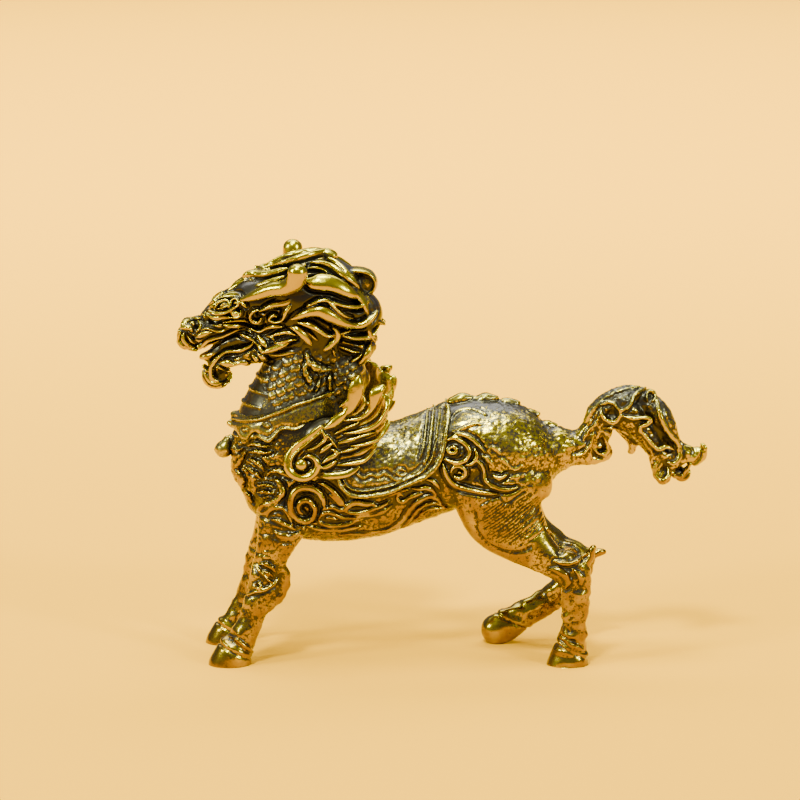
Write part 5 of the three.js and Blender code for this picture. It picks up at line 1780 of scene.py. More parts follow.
        sides = [
            lock((-16.8, 48.9, 0.3), (-16.0, 48.7, 0.66), (-15.1, 48.75, 0.84), (-14, 48.65, 0.82),
                 (-12.9, 48.25, 0.75), (-11.9, 47.65, 0.62), (-11.05, 47.15, 0.42),
                 (-10.4, 46.75, 0.1), top=0.8),
            lock((-14, 46.4, 0.06), (-13, 46.05, 0.17), (-12.15, 45.8, 0.2), (-11.15, 45.7, 0.22),
                 (-10.3, 45.78, 0.2), (-9.6, 46.1, 0.14), (-9.25, 46.4, 0.04)),
            lock((-19.1, 44.15, 0.06), (-18, 44.5, 0.26), (-17, 44.9, 0.4), (-16.05, 45.15, 0.48),
                 (-15.05, 45.15, 0.56), (-14.1, 44.7, 0.6), (-13.1, 44.1, 0.5), (-12.15, 43.65, 0.42),
                 (-11.2, 43.45, 0.36), (-10.2, 43.5, 0.35), (-9.35, 44.0, 0.33), (-8.6, 44.7, 0.22),
                 (-8.25, 45.35, 0.05), top=0.8),
            lock((-16.8, 45.8, 0.06), (-16.2, 46.05, 0.14), (-15.3, 46.45, 0.2), (-14.35, 46.5, 0.2),
                 (-13.75, 45.95, 0.2), (-13, 45.2, 0.18), (-12.15, 44.6, 0.16),
                 (-11.2, 44.3, 0.05), top=0.5),
            lock((-19.2, 43.5, 0.08), (-18.25, 43.35, 0.26), (-17.5, 42.85, 0.35), (-16.8, 42.1, 0.38),
                 (-16.15, 41.35, 0.36), (-15.55, 40.85, 0.35), (-14.8, 40.6, 0.35), (-14, 40.85, 0.35),
                 (-13.35, 41.5, 0.34), (-13.05, 42.2, 0.3), (-13.2, 42.85, 0.2),
                 (-13.55, 43.15, 0.05), top=0.85),
            lock((-17.9, 43.85, 0.08), (-17, 43.7, 0.25), (-16.15, 43.4, 0.3), (-15.3, 42.85, 0.26),
                 (-14.6, 42.35, 0.24), (-13.9, 42.15, 0.16), (-13.55, 42.35, 0.04), top=0.55),
            lock((-16.8, 42.75, 0.04), (-15.8, 41.9, 0.12), (-15, 41.3, 0.04), top=0.3),
            lock((-12.5, 42.2, 0.06), (-12.0, 42.0, 0.16), (-11.4, 41.85, 0.22), (-10.45, 41.85, 0.28),
                 (-9.45, 42.1, 0.3), (-8.75, 42.5, 0.22), (-8.3, 43.05, 0.05)),
            lock((-13.0, 42.4, 0.06), (-12.2, 42.6, 0.15), (-11.4, 42.85, 0.04), top=0.35),
            lock((-15.1, 39.55, 0.08), (-14.1, 39.25, 0.28), (-13.35, 38.8, 0.34), (-12.5, 38.45, 0.35),
                 (-11.65, 38.4, 0.33), (-10.8, 38.65, 0.33), (-9.95, 39.2, 0.33), (-9.45, 40, 0.3),
                 (-9.2, 40.7, 0.2), (-9.05, 41.4, 0.05)),
            lock((-13.6, 40.6, 0.06), (-13.35, 39.8, 0.16), (-12.75, 39.3, 0.16), (-11.9, 39.1, 0.16),
                 (-10.95, 39.25, 0.14), (-10.2, 39.8, 0.05), top=0.45),
            lock((-12.8, 40.75, 0.04), (-12.15, 40.55, 0.12), (-11.15, 40.15, 0.14),
                 (-10.4, 40.15, 0.04), top=0.3),
            lock((-17.75, 42.35, 0.06), (-17.25, 41.5, 0.15), (-16.9, 40.6, 0.22), (-16.55, 39.9, 0.28),
                 (-16.05, 39.55, 0.28), (-15.55, 39.55, 0.18), (-15.3, 39.9, 0.05)),
        ]
        return forehead + crown + sides


@dataclass
class Wings(SubAssembly):
    """A small wing: a thin blade with feathers and a scroll at its shoulder."""

    root_x: float = -17.5
    root_y: float = 6.5
    lean: float = -0.06
    half_thickness: float = 0.4
    web: Path = ()
    web_half_thickness: float = 0.55
    root: Lump = ((-14.2, -4.5, 28.4), (3.6, 1.7, 3.2))
    hub_at: tuple[float, float] = (-17.6, 26.1)
    hub_radius: float = 0.82
    outline: Path = (
        (-19.0, 25.2), (-18.8, 27.8), (-15.4, 30.7), (-13.4, 32.0), (-12.2, 32.8), (-11.8, 34.6),
        (-11.2, 36.4), (-10.0, 36.2), (-9.6, 34.0), (-9.0, 34.2), (-8.6, 35.2), (-7.5, 35.2), (-6.9, 33.6),
        (-6.9, 31.6), (-7.9, 29.0), (-9.2, 27.2), (-11.0, 25.4), (-15.0, 24.6),
    )

    def _depth(self, x: float) -> float:
        """How far the blade is from the middle."""
        return self.root_y + self.lean * (x - self.root_x)

    def masses(self) -> list[Clay]:
        """The blade, its broad tip where it has one, and its root in the shoulder, on the left.

        Returns:
            The forms.
        """
        made = [slab(flat_path([*self.outline, self.outline[0]], 0.5)[:-1], self.half_thickness)]
        if self.web:
            made.append(slab(self.web, self.web_half_thickness))
        for plate in made:
            plate.points[:, 1] -= [self._depth(x) for x in plate.points[:, 0]]
        return made + [ball(self.root[0], *self.root[1])]

    def extras(self, surface: Surface) -> list[Clay]:
        """The hub of the scroll."""
        x, z = self.hub_at
        return [ball((x, -self._depth(x) - 0.3, z), self.hub_radius)]

    def ribbons(self) -> list[Ribbon]:
        """The scrolled leading edge, the coverts and the feathers.

        Returns:
            The ribbons, in the order in which they are laid.
        """

        def vane(*path: Spot, top: float = 0.42, foot: float = 0.6) -> Ribbon:
            """A feather or covert on the blade."""
            return Ribbon(widened(path, 1.22), 7.0, top, foot, moat=0.3)

        edge = [
            vane((-15.03, 31.0, 0.1), (-15.87, 30.35, 0.26), (-16.87, 29.5, 0.3), (-17.76, 28.85, 0.32),
                 (-18.66, 28.0, 0.34), (-19.2, 27.1, 0.38), (-19.3, 26.2, 0.4), (-19.05, 25.3, 0.42),
                 (-18.3, 24.65, 0.42), (-17.4, 24.4, 0.4), (-16.5, 24.65, 0.4), (-15.9, 25.2, 0.4),
                 (-15.55, 26.0, 0.38), (-15.75, 26.65, 0.33), (-16.3, 27.15, 0.26), (-16.9, 27.25, 0.18),
                 (-17.3, 27.05, 0.08), top=0.5),
            vane((-15.03, 30.35, 0.08), (-15.87, 29.7, 0.1), (-16.87, 28.85, 0.1), (-17.76, 28.15, 0.11),
                 (-18.4, 27.5, 0.12), (-18.75, 26.85, 0.12), (-18.8, 26.1, 0.12), (-18.5, 25.45, 0.11),
                 (-18.0, 25.05, 0.1), (-17.4, 24.95, 0.1), (-16.75, 25.15, 0.08),
                 (-16.4, 25.6, 0.04), top=0.4),
        ]
        coverts = [
            vane((-15.0, 30.45, 0.1), (-14.6, 29.65, 0.24), (-14.75, 29.2, 0.25), (-15.4, 28.65, 0.2),
                 (-16.1, 28.2, 0.15), (-16.9, 28.0, 0.05)),
            vane((-13.8, 28.8, 0.15), (-14.3, 28.45, 0.28), (-14.85, 28.05, 0.28), (-15.25, 27.65, 0.1)),
            vane((-13.8, 28.1, 0.1), (-13.25, 27.8, 0.24), (-13.4, 27.35, 0.28), (-14.1, 27.0, 0.28),
                 (-14.65, 26.6, 0.2), (-15.0, 26.35, 0.08)),
            vane((-15.2, 25.75, 0.12), (-14.5, 25.85, 0.27), (-13.85, 26.2, 0.28), (-13.3, 26.6, 0.12)),
            vane((-14.35, 29.9, 0.08), (-13.65, 29.05, 0.12), (-13.2, 28.35, 0.08), top=0.5),
        ]
        feathers = [
            vane((-14.6, 30.75, 0.2), (-13.7, 31.35, 0.48), (-12.95, 32.0, 0.5),
                 (-12.35, 32.5, 0.42), top=0.6),
            vane((-12.9, 32.3, 0.15), (-12.3, 32.75, 0.4), (-11.6, 33.3, 0.52), (-11.25, 34.1, 0.66),
                 (-10.95, 34.9, 0.76), (-10.8, 35.7, 0.76), (-10.65, 36.4, 0.66), (-10.55, 37.0, 0.4),
                 (-10.5, 37.3, 0.1), top=0.55, foot=0.5),
            vane((-12.9, 33.35, 0.06), (-12.3, 33.75, 0.18), (-11.8, 34.2, 0.1)),
            vane((-12.3, 31.7, 0.06), (-11.3, 31.8, 0.18), (-10.4, 31.95, 0.22), (-9.5, 32.5, 0.28),
                 (-8.9, 33.3, 0.36), (-8.6, 34.1, 0.5), (-8.45, 34.9, 0.64), (-8.1, 35.5, 0.66),
                 (-7.6, 35.85, 0.45), (-7.25, 35.95, 0.1),
                 top=0.5, foot=0.5),
            vane((-13.5, 30.0, 0.06), (-12.75, 30.45, 0.15), (-11.85, 30.9, 0.17), (-10.95, 31.25, 0.12),
                 (-10.5, 31.45, 0.04)),
            vane((-12.3, 30.1, 0.06), (-11.2, 30.2, 0.2), (-10.05, 30.45, 0.28), (-8.95, 30.8, 0.3),
                 (-7.95, 31.5, 0.3), (-7.35, 32.4, 0.28), (-7.0, 33.4, 0.25), (-6.9, 34.3, 0.18),
                 (-7.15, 34.95, 0.05)),
            vane((-12.9, 28.9, 0.12), (-11.85, 29.2, 0.24), (-10.95, 29.5, 0.2), (-10.05, 29.8, 0.15),
                 (-9.15, 30.05, 0.12), (-8.4, 30.25, 0.04)),
            vane((-11.5, 28.5, 0.06), (-10.15, 28.65, 0.2), (-9.05, 28.95, 0.22), (-8.25, 29.25, 0.24),
                 (-7.6, 30, 0.22), (-7.05, 30.8, 0.18), (-6.65, 31.7, 0.04)),
            vane((-12.8, 27.7, 0.06), (-12.3, 27.85, 0.17), (-11.5, 28.05, 0.2), (-10.5, 28.25, 0.05)),
            vane((-13.1, 26.1, 0.06), (-11.85, 26.25, 0.22), (-10.7, 26.4, 0.27), (-9.85, 26.65, 0.26),
                 (-9.15, 27.25, 0.2), (-8.6, 28.05, 0.12), (-8.25, 28.6, 0.04)),
            vane((-14.8, 24.6, 0.08), (-13.85, 24.65, 0.26), (-12.75, 24.75, 0.28), (-11.85, 24.95, 0.25),
                 (-11.05, 25.4, 0.17), (-10.45, 25.9, 0.04)),
        ]
        return edge + coverts + feathers


@dataclass
class Saddle(SubAssembly):
    """The saddle cloth: a raised sheet over the back with a thick cord around it."""

    rise: float = 0.4
    edge: Path = (
        (-13.4, 24.2), (-12.2, 22.4), (-10.4, 21.8), (-6.4, 22.3),
        (-3.4, 23.6), (-1.0, 25.8), (-0.1, 28.2), (0.5, 30.8),
    )
    top: Path = ((0.9, 36), (-13.6, 36))

    def masses(self) -> list[Clay]:
        """The part of a slightly larger trunk that lies inside the outline."""
        larger = [[x, y, z, a + self.rise, b + self.rise] for x, y, z, a, b in Trunk().stations]
        return [sweep(larger).kept_inside([*flat_path(self.edge, 0.5), *self.top])]

    def ribbons(self) -> list[Ribbon]:
        """The border cords, the ribs at the back and the swirls.

        Returns:
            The ribbons, in the order in which they are laid.
        """

        def cord(*path: Spot, top: float = 0.25, plane: float = 6.0) -> Ribbon:
            """A cord or rib."""
            return Ribbon(path, plane, top, foot=0.4, moat=0.2)

        return [
            cord((-13.1, 24.2, 0.15), (-12.7, 23.3, 0.28), (-12.0, 22.45, 0.3), (-11.1, 22.0, 0.3),
                 (-10.0, 21.9, 0.3), (-8.8, 22.05, 0.3), (-7.5, 22.25, 0.3), (-6.3, 22.6, 0.3),
                 (-5.0, 23.2, 0.3), (-3.65, 23.8, 0.3), (-2.5, 24.4, 0.3), (-1.65, 25.05, 0.32),
                 (-1.0, 25.75, 0.32), (-0.45, 26.8, 0.32), (-0.1, 27.9, 0.32), (0.1, 29.1, 0.32),
                 (0.28, 30.6, 0.3), (0.42, 31.8, 0.3), (0.45, 32.8, 0.3), (0.3, 33.5, 0.2), top=0.5),
            cord((-12.5, 24.3, 0.05), (-12.1, 23.4, 0.1), (-11.5, 22.85, 0.1), (-10.6, 22.6, 0.1),
                 (-9.5, 22.6, 0.1), (-8.0, 22.85, 0.1), (-6.5, 23.25, 0.1), (-5.2, 23.75, 0.1),
                 (-4.0, 24.3, 0.1), (-2.9, 24.85, 0.1), (-2.15, 25.6, 0.12), (-1.6, 26.4, 0.12),
                 (-1.2, 27.6, 0.12), (-0.95, 29.1, 0.12), (-0.75, 30.6, 0.12), (-0.55, 32.0, 0.12),
                 (-0.5, 33.0, 0.08)),
            cord((-2.35, 26.0, 0.08), (-2.0, 27.0, 0.2), (-1.78, 28.2, 0.22), (-1.6, 29.6, 0.22),
                 (-1.45, 31.0, 0.22), (-1.3, 32.4, 0.2), (-1.2, 33.3, 0.1)),
            cord((-2.95, 26.6, 0.06), (-2.65, 27.6, 0.15), (-2.45, 28.8, 0.17), (-2.25, 30.2, 0.17),
                 (-2.1, 31.6, 0.17), (-2.0, 32.8, 0.1), top=0.2),
            cord((-6.5, 24.35, 0.1), (-6.1, 24.0, 0.2), (-5.5, 23.95, 0.24), (-4.7, 24.1, 0.24),
                 (-3.9, 24.6, 0.24), (-3.2, 25.1, 0.2), (-2.7, 25.7, 0.08), top=0.1),
            cord((-4.6, 24.75, 0.06), (-4.9, 24.55, 0.14), (-5.4, 24.55, 0.18), (-5.75, 24.85, 0.18),
                 (-5.6, 25.3, 0.18), (-5.1, 25.35, 0.16), (-4.8, 25.1, 0.05), top=0.1),
            cord((-11.4, 25.1, 0.08), (-10.8, 24.9, 0.2), (-10.3, 24.45, 0.22), (-9.8, 24.25, 0.22),
                 (-9.3, 24.6, 0.22), (-8.8, 24.65, 0.2), (-8.3, 24.45, 0.22), (-7.8, 24.6, 0.22),
                 (-7.3, 24.95, 0.2), (-6.9, 24.6, 0.2), (-6.5, 24.4, 0.08), top=0.1),
        ]

    def relief(self, points: Array, normals: Array) -> Array:
        """A softly dented ground."""
        return 0.035 * (Pebbles(0.7, 51).at(points) - 0.7) + 0.035 * Grain(0.6, 52).at(points)

    def tarnish(self, points: Array) -> Array:
        """Grey all over."""
        return np.full(len(points), 0.9)


@dataclass
class BreastCloth(SubAssembly):
    """The cloth around the neck with its scalloped lower edge, clasp and bell."""

    rise: float = 0.4
    outline: Path = (
        (-28.5, 31.2), (-23.8, 31.5), (-21.0, 32.3), (-18.0, 33.5), (-13.0, 34.6), (-11.5, 31.5),
        (-15.5, 31.3), (-17.4, 30.6), (-18.6, 30.0), (-20.0, 30.0), (-21.2, 28.8), (-22.3, 28.8),
        (-23.4, 29.6), (-24.3, 28.5), (-25.1, 28.3), (-25.9, 29.3), (-28.5, 28.9),
    )
    balls: Sequence[tuple[Spot, float]] = (
        ((-27.5, 0, 26.5), 1.15),
        ((-26.9, 0, 27.7), 0.7),
        ((-26.2, 0.5, 30.9), 0.55),
        ((-26.7, -0.2, 29.9), 0.5),
    )

    def masses(self) -> list[Clay]:
        """The part of a slightly larger neck inside the outline, the bell and the clasp.

        Returns:
            The forms.
        """
        larger = [[x, y, z, a + self.rise, b + self.rise] for x, y, z, a, b in Neck().stations]
        cloth = sweep(larger).kept_inside(self.outline)
        return [cloth] + [ball(at, radius) for at, radius in self.balls]

    def ribbons(self) -> list[Ribbon]:
        """The rolled upper and scalloped lower edges and the dots.

        Returns:
            The ribbons, in the order in which they are laid.
        """

        def cord(*path: Spot) -> Ribbon:
            """A rolled edge."""
            return Ribbon(path, 5.0, 0.3, foot=0.4, moat=0.12)

        return [
            cord((-26.2, 31.5, 0.15), (-24.5, 31.3, 0.2), (-22.7, 31.45, 0.22), (-21.1, 32.05, 0.24),
                 (-19.65, 32.6, 0.25), (-18.3, 33.2, 0.24), (-16.8, 33.65, 0.22), (-15.3, 34.2, 0.2),
                 (-13.6, 34.8, 0.15)),
            cord((-26.4, 29.5, 0.12), (-26.05, 29.0, 0.2), (-25.45, 28.4, 0.28), (-24.95, 28.25, 0.3),
                 (-24.35, 28.5, 0.28), (-23.85, 29.2, 0.2), (-23.35, 29.4, 0.2), (-22.7, 29.25, 0.24),
                 (-22, 28.8, 0.3), (-21.5, 28.8, 0.28), (-20.9, 29.4, 0.22), (-20.25, 30.1, 0.18),
                 (-19.5, 30.3, 0.16), (-18.65, 30.15, 0.16), (-18.05, 30.25, 0.16), (-17.3, 30.65, 0.08)),
            cord((-24.85, 30.1, 0.12), (-24.65, 30.1, 0.22), (-24.45, 30.1, 0.12)),
            cord((-22.1, 30.6, 0.14), (-21.85, 30.6, 0.28), (-21.6, 30.6, 0.14)),
        ]

    def tarnish(self, points: Array) -> Array:
        """Grey between the edges."""
        return np.full(len(points), 0.7)


class NodeBench:
    """Adds nodes to a tree and joins them."""

    def __init__(self, tree: bpy.types.NodeTree) -> None:
        """Keeps the tree.

        Args:
            tree: where the nodes go.
        """
        self.tree = tree

    def add(self, kind: str, inputs: dict | None = None, **settings: object) -> bpy.types.Node:
        """Adds one node.

        Args:
            kind: the node's type.
            inputs: for each input, by name or number, a value or the socket that feeds it.
            **settings: the node's own settings.

        Returns:
            The node.
        """
        node = self.tree.nodes.new(kind)
        for name, value in settings.items():
            setattr(node, name, value)
        for key, value in (inputs or {}).items():
            if isinstance(value, bpy.types.NodeSocket):
                self.tree.links.new(value, node.inputs[key])
            else:
                node.inputs[key].default_value = value
        return node

    def noise(self, place: bpy.types.NodeSocket, scale: float, detail: float = 3.0) -> bpy.types.NodeSocket:
        """Noise around 0.5 at a place."""
        inputs = {"Vector": place, "Scale": scale, "Detail": detail}
        return self.add("ShaderNodeTexNoise", inputs).outputs["Fac"]

    def math(self, operation: str, *values: object) -> bpy.types.NodeSocket:
        """One sum, product or the like."""
        return self.add("ShaderNodeMath", dict(enumerate(values)), operation=operation).outputs[0]

    def ramp(self, value: bpy.types.NodeSocket, low: object, high: object) -> bpy.types.NodeSocket:
        """A smooth step from 0 at `low` to 1 at `high`."""
        inputs = {"Value": value, "From Min": low, "From Max": high}
        return self.add("ShaderNodeMapRange", inputs, interpolation_type="SMOOTHSTEP").outputs["Result"]

    def mix(self, share: object, first: object, second: object) -> bpy.types.NodeSocket:
        """A mix of two colours."""
        inputs = {0: share, 6: first, 7: second}
        return self.add("ShaderNodeMix", inputs, data_type="RGBA").outputs[2]


class Shade(Enum):
    """What is stored at each corner of a piece for its finish."""

    HOLLOW = "hollow"
    TARNISH = "tarnish"
    # Painted shade that darkens and browns the lower parts.
    WARMTH = "warmth"


CLOUD_SCALE = 420.0
SPECK_SCALE = 2600.0
FINE_SCALE = 6500.0


def antique_layers() -> bpy.types.NodeTree:
    """Builds the group that lays lacquer, painted shade that browns the lower parts, grey tarnish and black
    patina over brass, the black also painting shadow where a piece adds it to the hollow.

    Returns:
        The node group.
    """
    tree = bpy.data.node_groups.new("antique_layers", "ShaderNodeTree")
    for name in ("Hollow", "Tarnish", "Warmth", "Mottle", "Patina From", "Patina Full", "Polish"):
        tree.interface.new_socket(name, in_out="INPUT", socket_type="NodeSocketFloat")
    for name in ("Bright", "Brown and shade", "Grey", "Patina"):
        tree.interface.new_socket(name, in_out="INPUT", socket_type="NodeSocketColor")
    for name, kind in (("Color", "Color"), ("Metal", "Float"), ("Roughness", "Float"), ("Height", "Float")):
        tree.interface.new_socket(name, in_out="OUTPUT", socket_type=f"NodeSocket{kind}")
    bench = NodeBench(tree)
    given = bench.add("NodeGroupInput").outputs
    place = bench.add("ShaderNodeTexCoord").outputs["Object"]
    clouds = bench.noise(place, CLOUD_SCALE)
    specks = bench.noise(place, SPECK_SCALE)
    fine = bench.noise(place, FINE_SCALE, 2.0)
    flecks = bench.math("ADD", bench.math("MULTIPLY", specks, 0.65), bench.math("MULTIPLY", fine, 0.35))
    flecks = bench.math("SUBTRACT", bench.ramp(flecks, 0.34, 0.66), 0.5)
    uneven = bench.math("MULTIPLY_ADD", flecks, given["Mottle"], given["Hollow"])
    # Black patina in the hollows; where the hollow share carries painted shadow, as under the mane, this
    # black paints that shadow.
    patina = bench.ramp(uneven, given["Patina From"], given["Patina Full"])
    # Painted shade: the lower parts go darker and browner, in cloudy patches.
    brown_and_shade_share = bench.math("MULTIPLY", given["Warmth"], bench.ramp(clouds, 0.2, 0.6))
    flat = bench.ramp(uneven, 0.24, 0.44)
    brown_and_shade_share = bench.math("MAXIMUM", brown_and_shade_share, bench.math("MULTIPLY", flat, 0.8))
    metal = bench.mix(brown_and_shade_share, given["Bright"], given["Brown and shade"])
    grey_share = bench.math("MULTIPLY", given["Tarnish"], bench.ramp(specks, 0.3, 0.62))
    metal = bench.mix(grey_share, metal, given["Grey"])
    colour = bench.mix(patina, metal, given["Patina"])
    metallic = bench.math("MULTIPLY_ADD", patina, -0.75, 1.0)
    rough = bench.math("MULTIPLY_ADD", patina, 0.1, given["Polish"])
    rough = bench.math("MULTIPLY_ADD", grey_share, 0.1, rough)
    rough = bench.math("MULTIPLY_ADD", bench.math("SUBTRACT", clouds, 0.5), 0.12, rough)
    height = bench.math("ADD", bench.math("MULTIPLY", specks, 0.7), bench.math("MULTIPLY", fine, 0.3))
    out = {"Color": colour, "Metal": metallic, "Roughness": rough, "Height": height}
    bench.add("NodeGroupOutput", out)
    return tree


@dataclass(frozen=True)
class AgedBrass:
    """Cast brass, polished on its ridges, lacquered and dark in its hollows, with painted shade browning its
    lower parts.
    """

    name: str
    bright: Colour = (0.42, 0.345, 0.014, 1.0)
    # Lacquer on the flats, and painted shade on the lower parts.
    brown_and_shade: Colour = (0.2, 0.13, 0.009, 1.0)
    grey: Colour = (0.15, 0.145, 0.085, 1.0)
    patina: Colour = (0.008, 0.006, 0.004, 1.0)
    lacquer: float = 0.3
    lacquer_roughness: float = 0.12
    mottle: float = 0.12
    patina_from: float = 0.49
    patina_full: float = 0.6
    polish: float = 0.23
    bump_depth: float = 0.00004
    bump_strength: float = 0.6

    def material(self, layers: bpy.types.NodeTree) -> bpy.types.Material:
        """Builds the material.

        Args:
            layers: the group made by antique_layers.

        Returns:
            The material.
        """
        made = bpy.data.materials.new(self.name)
        made.use_nodes = True
        bench = NodeBench(made.node_tree)
        shader = made.node_tree.nodes["Principled BSDF"]
        inputs = {
            "Mottle": self.mottle,
            "Patina From": self.patina_from,
            "Patina Full": self.patina_full,
            "Polish": self.polish,
            "Bright": self.bright,
            "Brown and shade": self.brown_and_shade,
            "Grey": self.grey,
            "Patina": self.patina,
        }
        for shade in Shade:
            read = bench.add("ShaderNodeAttribute", attribute_name=shade.value)
            inputs[shade.value.capitalize()] = read.outputs["Fac"]
        group = bench.add("ShaderNodeGroup", inputs, node_tree=layers)
        shader.inputs["Coat Weight"].default_value = self.lacquer
        shader.inputs["Coat Roughness"].default_value = self.lacquer_roughness
        relief = {
            "Height": group.outputs["Height"],
            "Distance": self.bump_depth,
            "Strength": self.bump_strength,
        }
        dented = bench.add("ShaderNodeBump", relief).outputs["Normal"]
        for target, source in {"Base Color": "Color", "Metallic": "Metal", "Roughness": "Roughness"}.items():
            bench.tree.links.new(group.outputs[source], shader.inputs[target])
        bench.tree.links.new(dented, shader.inputs["Normal"])
        return made


WORN = AgedBrass("worn_brass", mottle=0.58, patina_from=0.44, patina_full=0.52)
CARVED = AgedBrass("carved_brass", mottle=0.16, patina_from=0.43, patina_full=0.52)
TARNISHED = AgedBrass("tarnished_brass", mottle=0.42, patina_from=0.46, patina_full=0.56)


@dataclass
class Casting:
    """One visible piece: it fuses its sub-assemblies, carves them and dresses them."""

    name: str
    members: Sequence[SubAssembly]
    core_pitch: float = 0.3
    pitch: float = 0.12
    core_smoothing: int = 4
    smoothing: int = 1
    limit: int = 190000
    finish: AgedBrass = AgedBrass("aged_brass")
    ground: float = 0.0
    ground_top: float = 0.3
    ground_foot: float = 0.05
    sunk_pitch: float = 1.5
    skin_grain: float = 0.015
    one_sided: bool = False
    raised: Array | None = None

    def build(self) -> Clay:
        """Builds the piece.

        Returns:
            The finished skin, in millimetres.
        """
        core = Clay.joined([lump for member in self.members for lump in member.masses()])
        core = core.fused(self.core_pitch).smoothed(self.core_smoothing)
        surface = Surface(core)
        marks = [mark for member in self.members for mark in member.ribbons()]
        ribbons = [copy for mark in marks for copy in surface.lay_ribbon(mark)]
        if self.one_sided:
            ribbons = ribbons[::2]
        laid = [lump for member in self.members for lump in member.extras(surface)]
        laid += [copy.skin for copy in ribbons]
        sunk = core.fused(self.pitch * self.sunk_pitch)
        normals = sunk.normals()
        amount = -gaps_beside(sunk.points, ribbons)
        for member in self.members:
            amount = amount + member.hollows(sunk.points, normals)
        sunk = sunk.pushed(amount)
        whole = Clay.joined([sunk, *laid]).fused(self.pitch).smoothed(self.smoothing)
        normals = whole.normals()
        amount = sum(member.relief(whole.points, normals) for member in self.members)
        whole = whole.pushed(amount + self.skin_grain * Grain(0.5, 3).at(whole.points))
        whole = whole.thinned(self.limit)
        whole.points[:, 2] = np.maximum(whole.points[:, 2], 0.0)
        if self.ground:
            self.raised = surface.height(whole.points)
        log.info("%s: %d triangles", self.name, len(whole.triangles))
        return whole

    def values(self, points: Array, kind: Callable[[SubAssembly, Array], Array]) -> Array:
        """Adds up one shade of all members, at most 1."""
        return np.clip(sum(kind(member, points) for member in self.members), 0, 1)


def gaps_beside(points: Array, ribbons: Sequence[Laid], reach: float = 0.55, full: float = 0.1) -> Array:
    """Works out how deep the form is pressed in under and beside ribbons.

    Args:
        points: points of the form.
        ribbons: the ribbons.
        reach: how far beyond a ribbon's edge the form is pressed in.
        full: how far beyond it the form is pressed in to the full depth.

    Returns:
        The depth at each point.
    """
    deepest = np.zeros(len(points))
    for ribbon in ribbons:
        margin = reach + ribbon.wide.max()
        low, high = ribbon.line.min(0) - margin, ribbon.line.max(0) + margin
        near = np.flatnonzero(((points > low) & (points < high)).all(1))
        if not len(near):
            continue
        spots = points[near]
        clear = np.full(len(near), np.inf)
        for k in range(len(ribbon.line) - 1):
            start, along = ribbon.line[k], ribbon.line[k + 1] - ribbon.line[k]
            share = np.clip((spots - start) @ along / max(along @ along, TINY), 0, 1)
            away = np.linalg.norm(spots - start - share[:, None] * along, axis=1)
            edge = ribbon.wide[k] + share * (ribbon.wide[k + 1] - ribbon.wide[k])
            clear = np.minimum(clear, away - edge)
        deepest[near] = np.maximum(deepest[near], ribbon.moat * ramp(-clear, -reach, -full))
    return deepest


class Hollowness:
    """How deep each point of the figurine lies in a hollow, read from a blurred copy of it."""

    PITCH = 0.16
    MARGIN = 4.0
    BAND = 2.0
    KERNEL = 2.5

    def __init__(self, whole: Clay) -> None:
        """Fills a grid with what is inside the figurine.

        Args:
            whole: every piece of the figurine.
        """
        self.low = whole.points.min(0) - self.MARGIN
        shape = np.ceil((whole.points.max(0) + self.MARGIN - self.low) / self.PITCH).astype(int)
        transform = openvdb.createLinearTransform(voxelSize=self.PITCH)
        level = openvdb.FloatGrid.createLevelSetFromPolygons(
            (whole.points - self.low).astype(np.float32),
            triangles=whole.triangles.astype(np.uint32),
            transform=transform,
            halfWidth=self.BAND,
        )
        self.solid = np.full(tuple(shape), level.background, np.float32)
        level.copyToArray(self.solid)
        self.solid = np.clip(0.5 - self.solid / (2 * self.PITCH), 0, 1).astype(np.float32)

    def blurred(self, reach: float) -> Array:
        """Blurs the filled grid.

        Args:
            reach: how far, in millimetres.

        Returns:
            The share of solid around each cell.
        """
        grid = self.solid
        sigma = reach / self.PITCH
        half = int(math.ceil(self.KERNEL * sigma))
        weights = np.exp(-0.5 * (np.arange(-half, half + 1) / sigma) ** 2)
        weights /= weights.sum()
        for axis in range(3):
            total = np.zeros_like(grid)
            size = grid.shape[axis]
            for offset, weight in zip(range(-half, half + 1), weights):
                to = [slice(None)] * 3
                source = [slice(None)] * 3
                to[axis] = slice(max(0, -offset), size - max(0, offset))
                source[axis] = slice(max(0, offset), size - max(0, -offset))
                total[tuple(to)] += np.float32(weight) * grid[tuple(source)]
            grid = total
        return grid

    def read(self, grid: Array, points: Array) -> Array:
        """Reads a grid between its cells.

        Args:
            grid: a grid that `blurred` gave.
            points: where to read, in millimetres, one a row.

        Returns:
            One value for each point.
        """
        place = np.clip((points - self.low) / self.PITCH, 0, np.array(grid.shape) - 1.001)
        low = place.astype(int)
        part = place - low
        total = np.zeros(len(points))
        for corner in np.ndindex(2, 2, 2):
            weight = np.prod(np.where(corner, part, 1 - part), axis=1)
            total += weight * grid[tuple((low + corner).T)]
        return total


@dataclass(frozen=True)
class Softbox:
    """A square light that faces the figurine."""

    name: str
    at: Spot
    size: float
    power: float
    colour: Spot
    aim: Spot = (0.0, 0.0, 0.025)
    spread: float = 180.0

    def place(self) -> None:
        """Adds the light to the scene."""
        light = bpy.data.lights.new(self.name, "AREA")
        light.shape = "SQUARE"
        light.size = self.size
        light.energy = self.power
        light.color = self.colour
        light.spread = math.radians(self.spread)
        lamp = bpy.data.objects.new(self.name, light)
        lamp.location = self.at
        lamp.rotation_euler = (Vector(self.aim) - Vector(self.at)).to_track_quat("-Z", "Y").to_euler()
        bpy.context.scene.collection.objects.link(lamp)


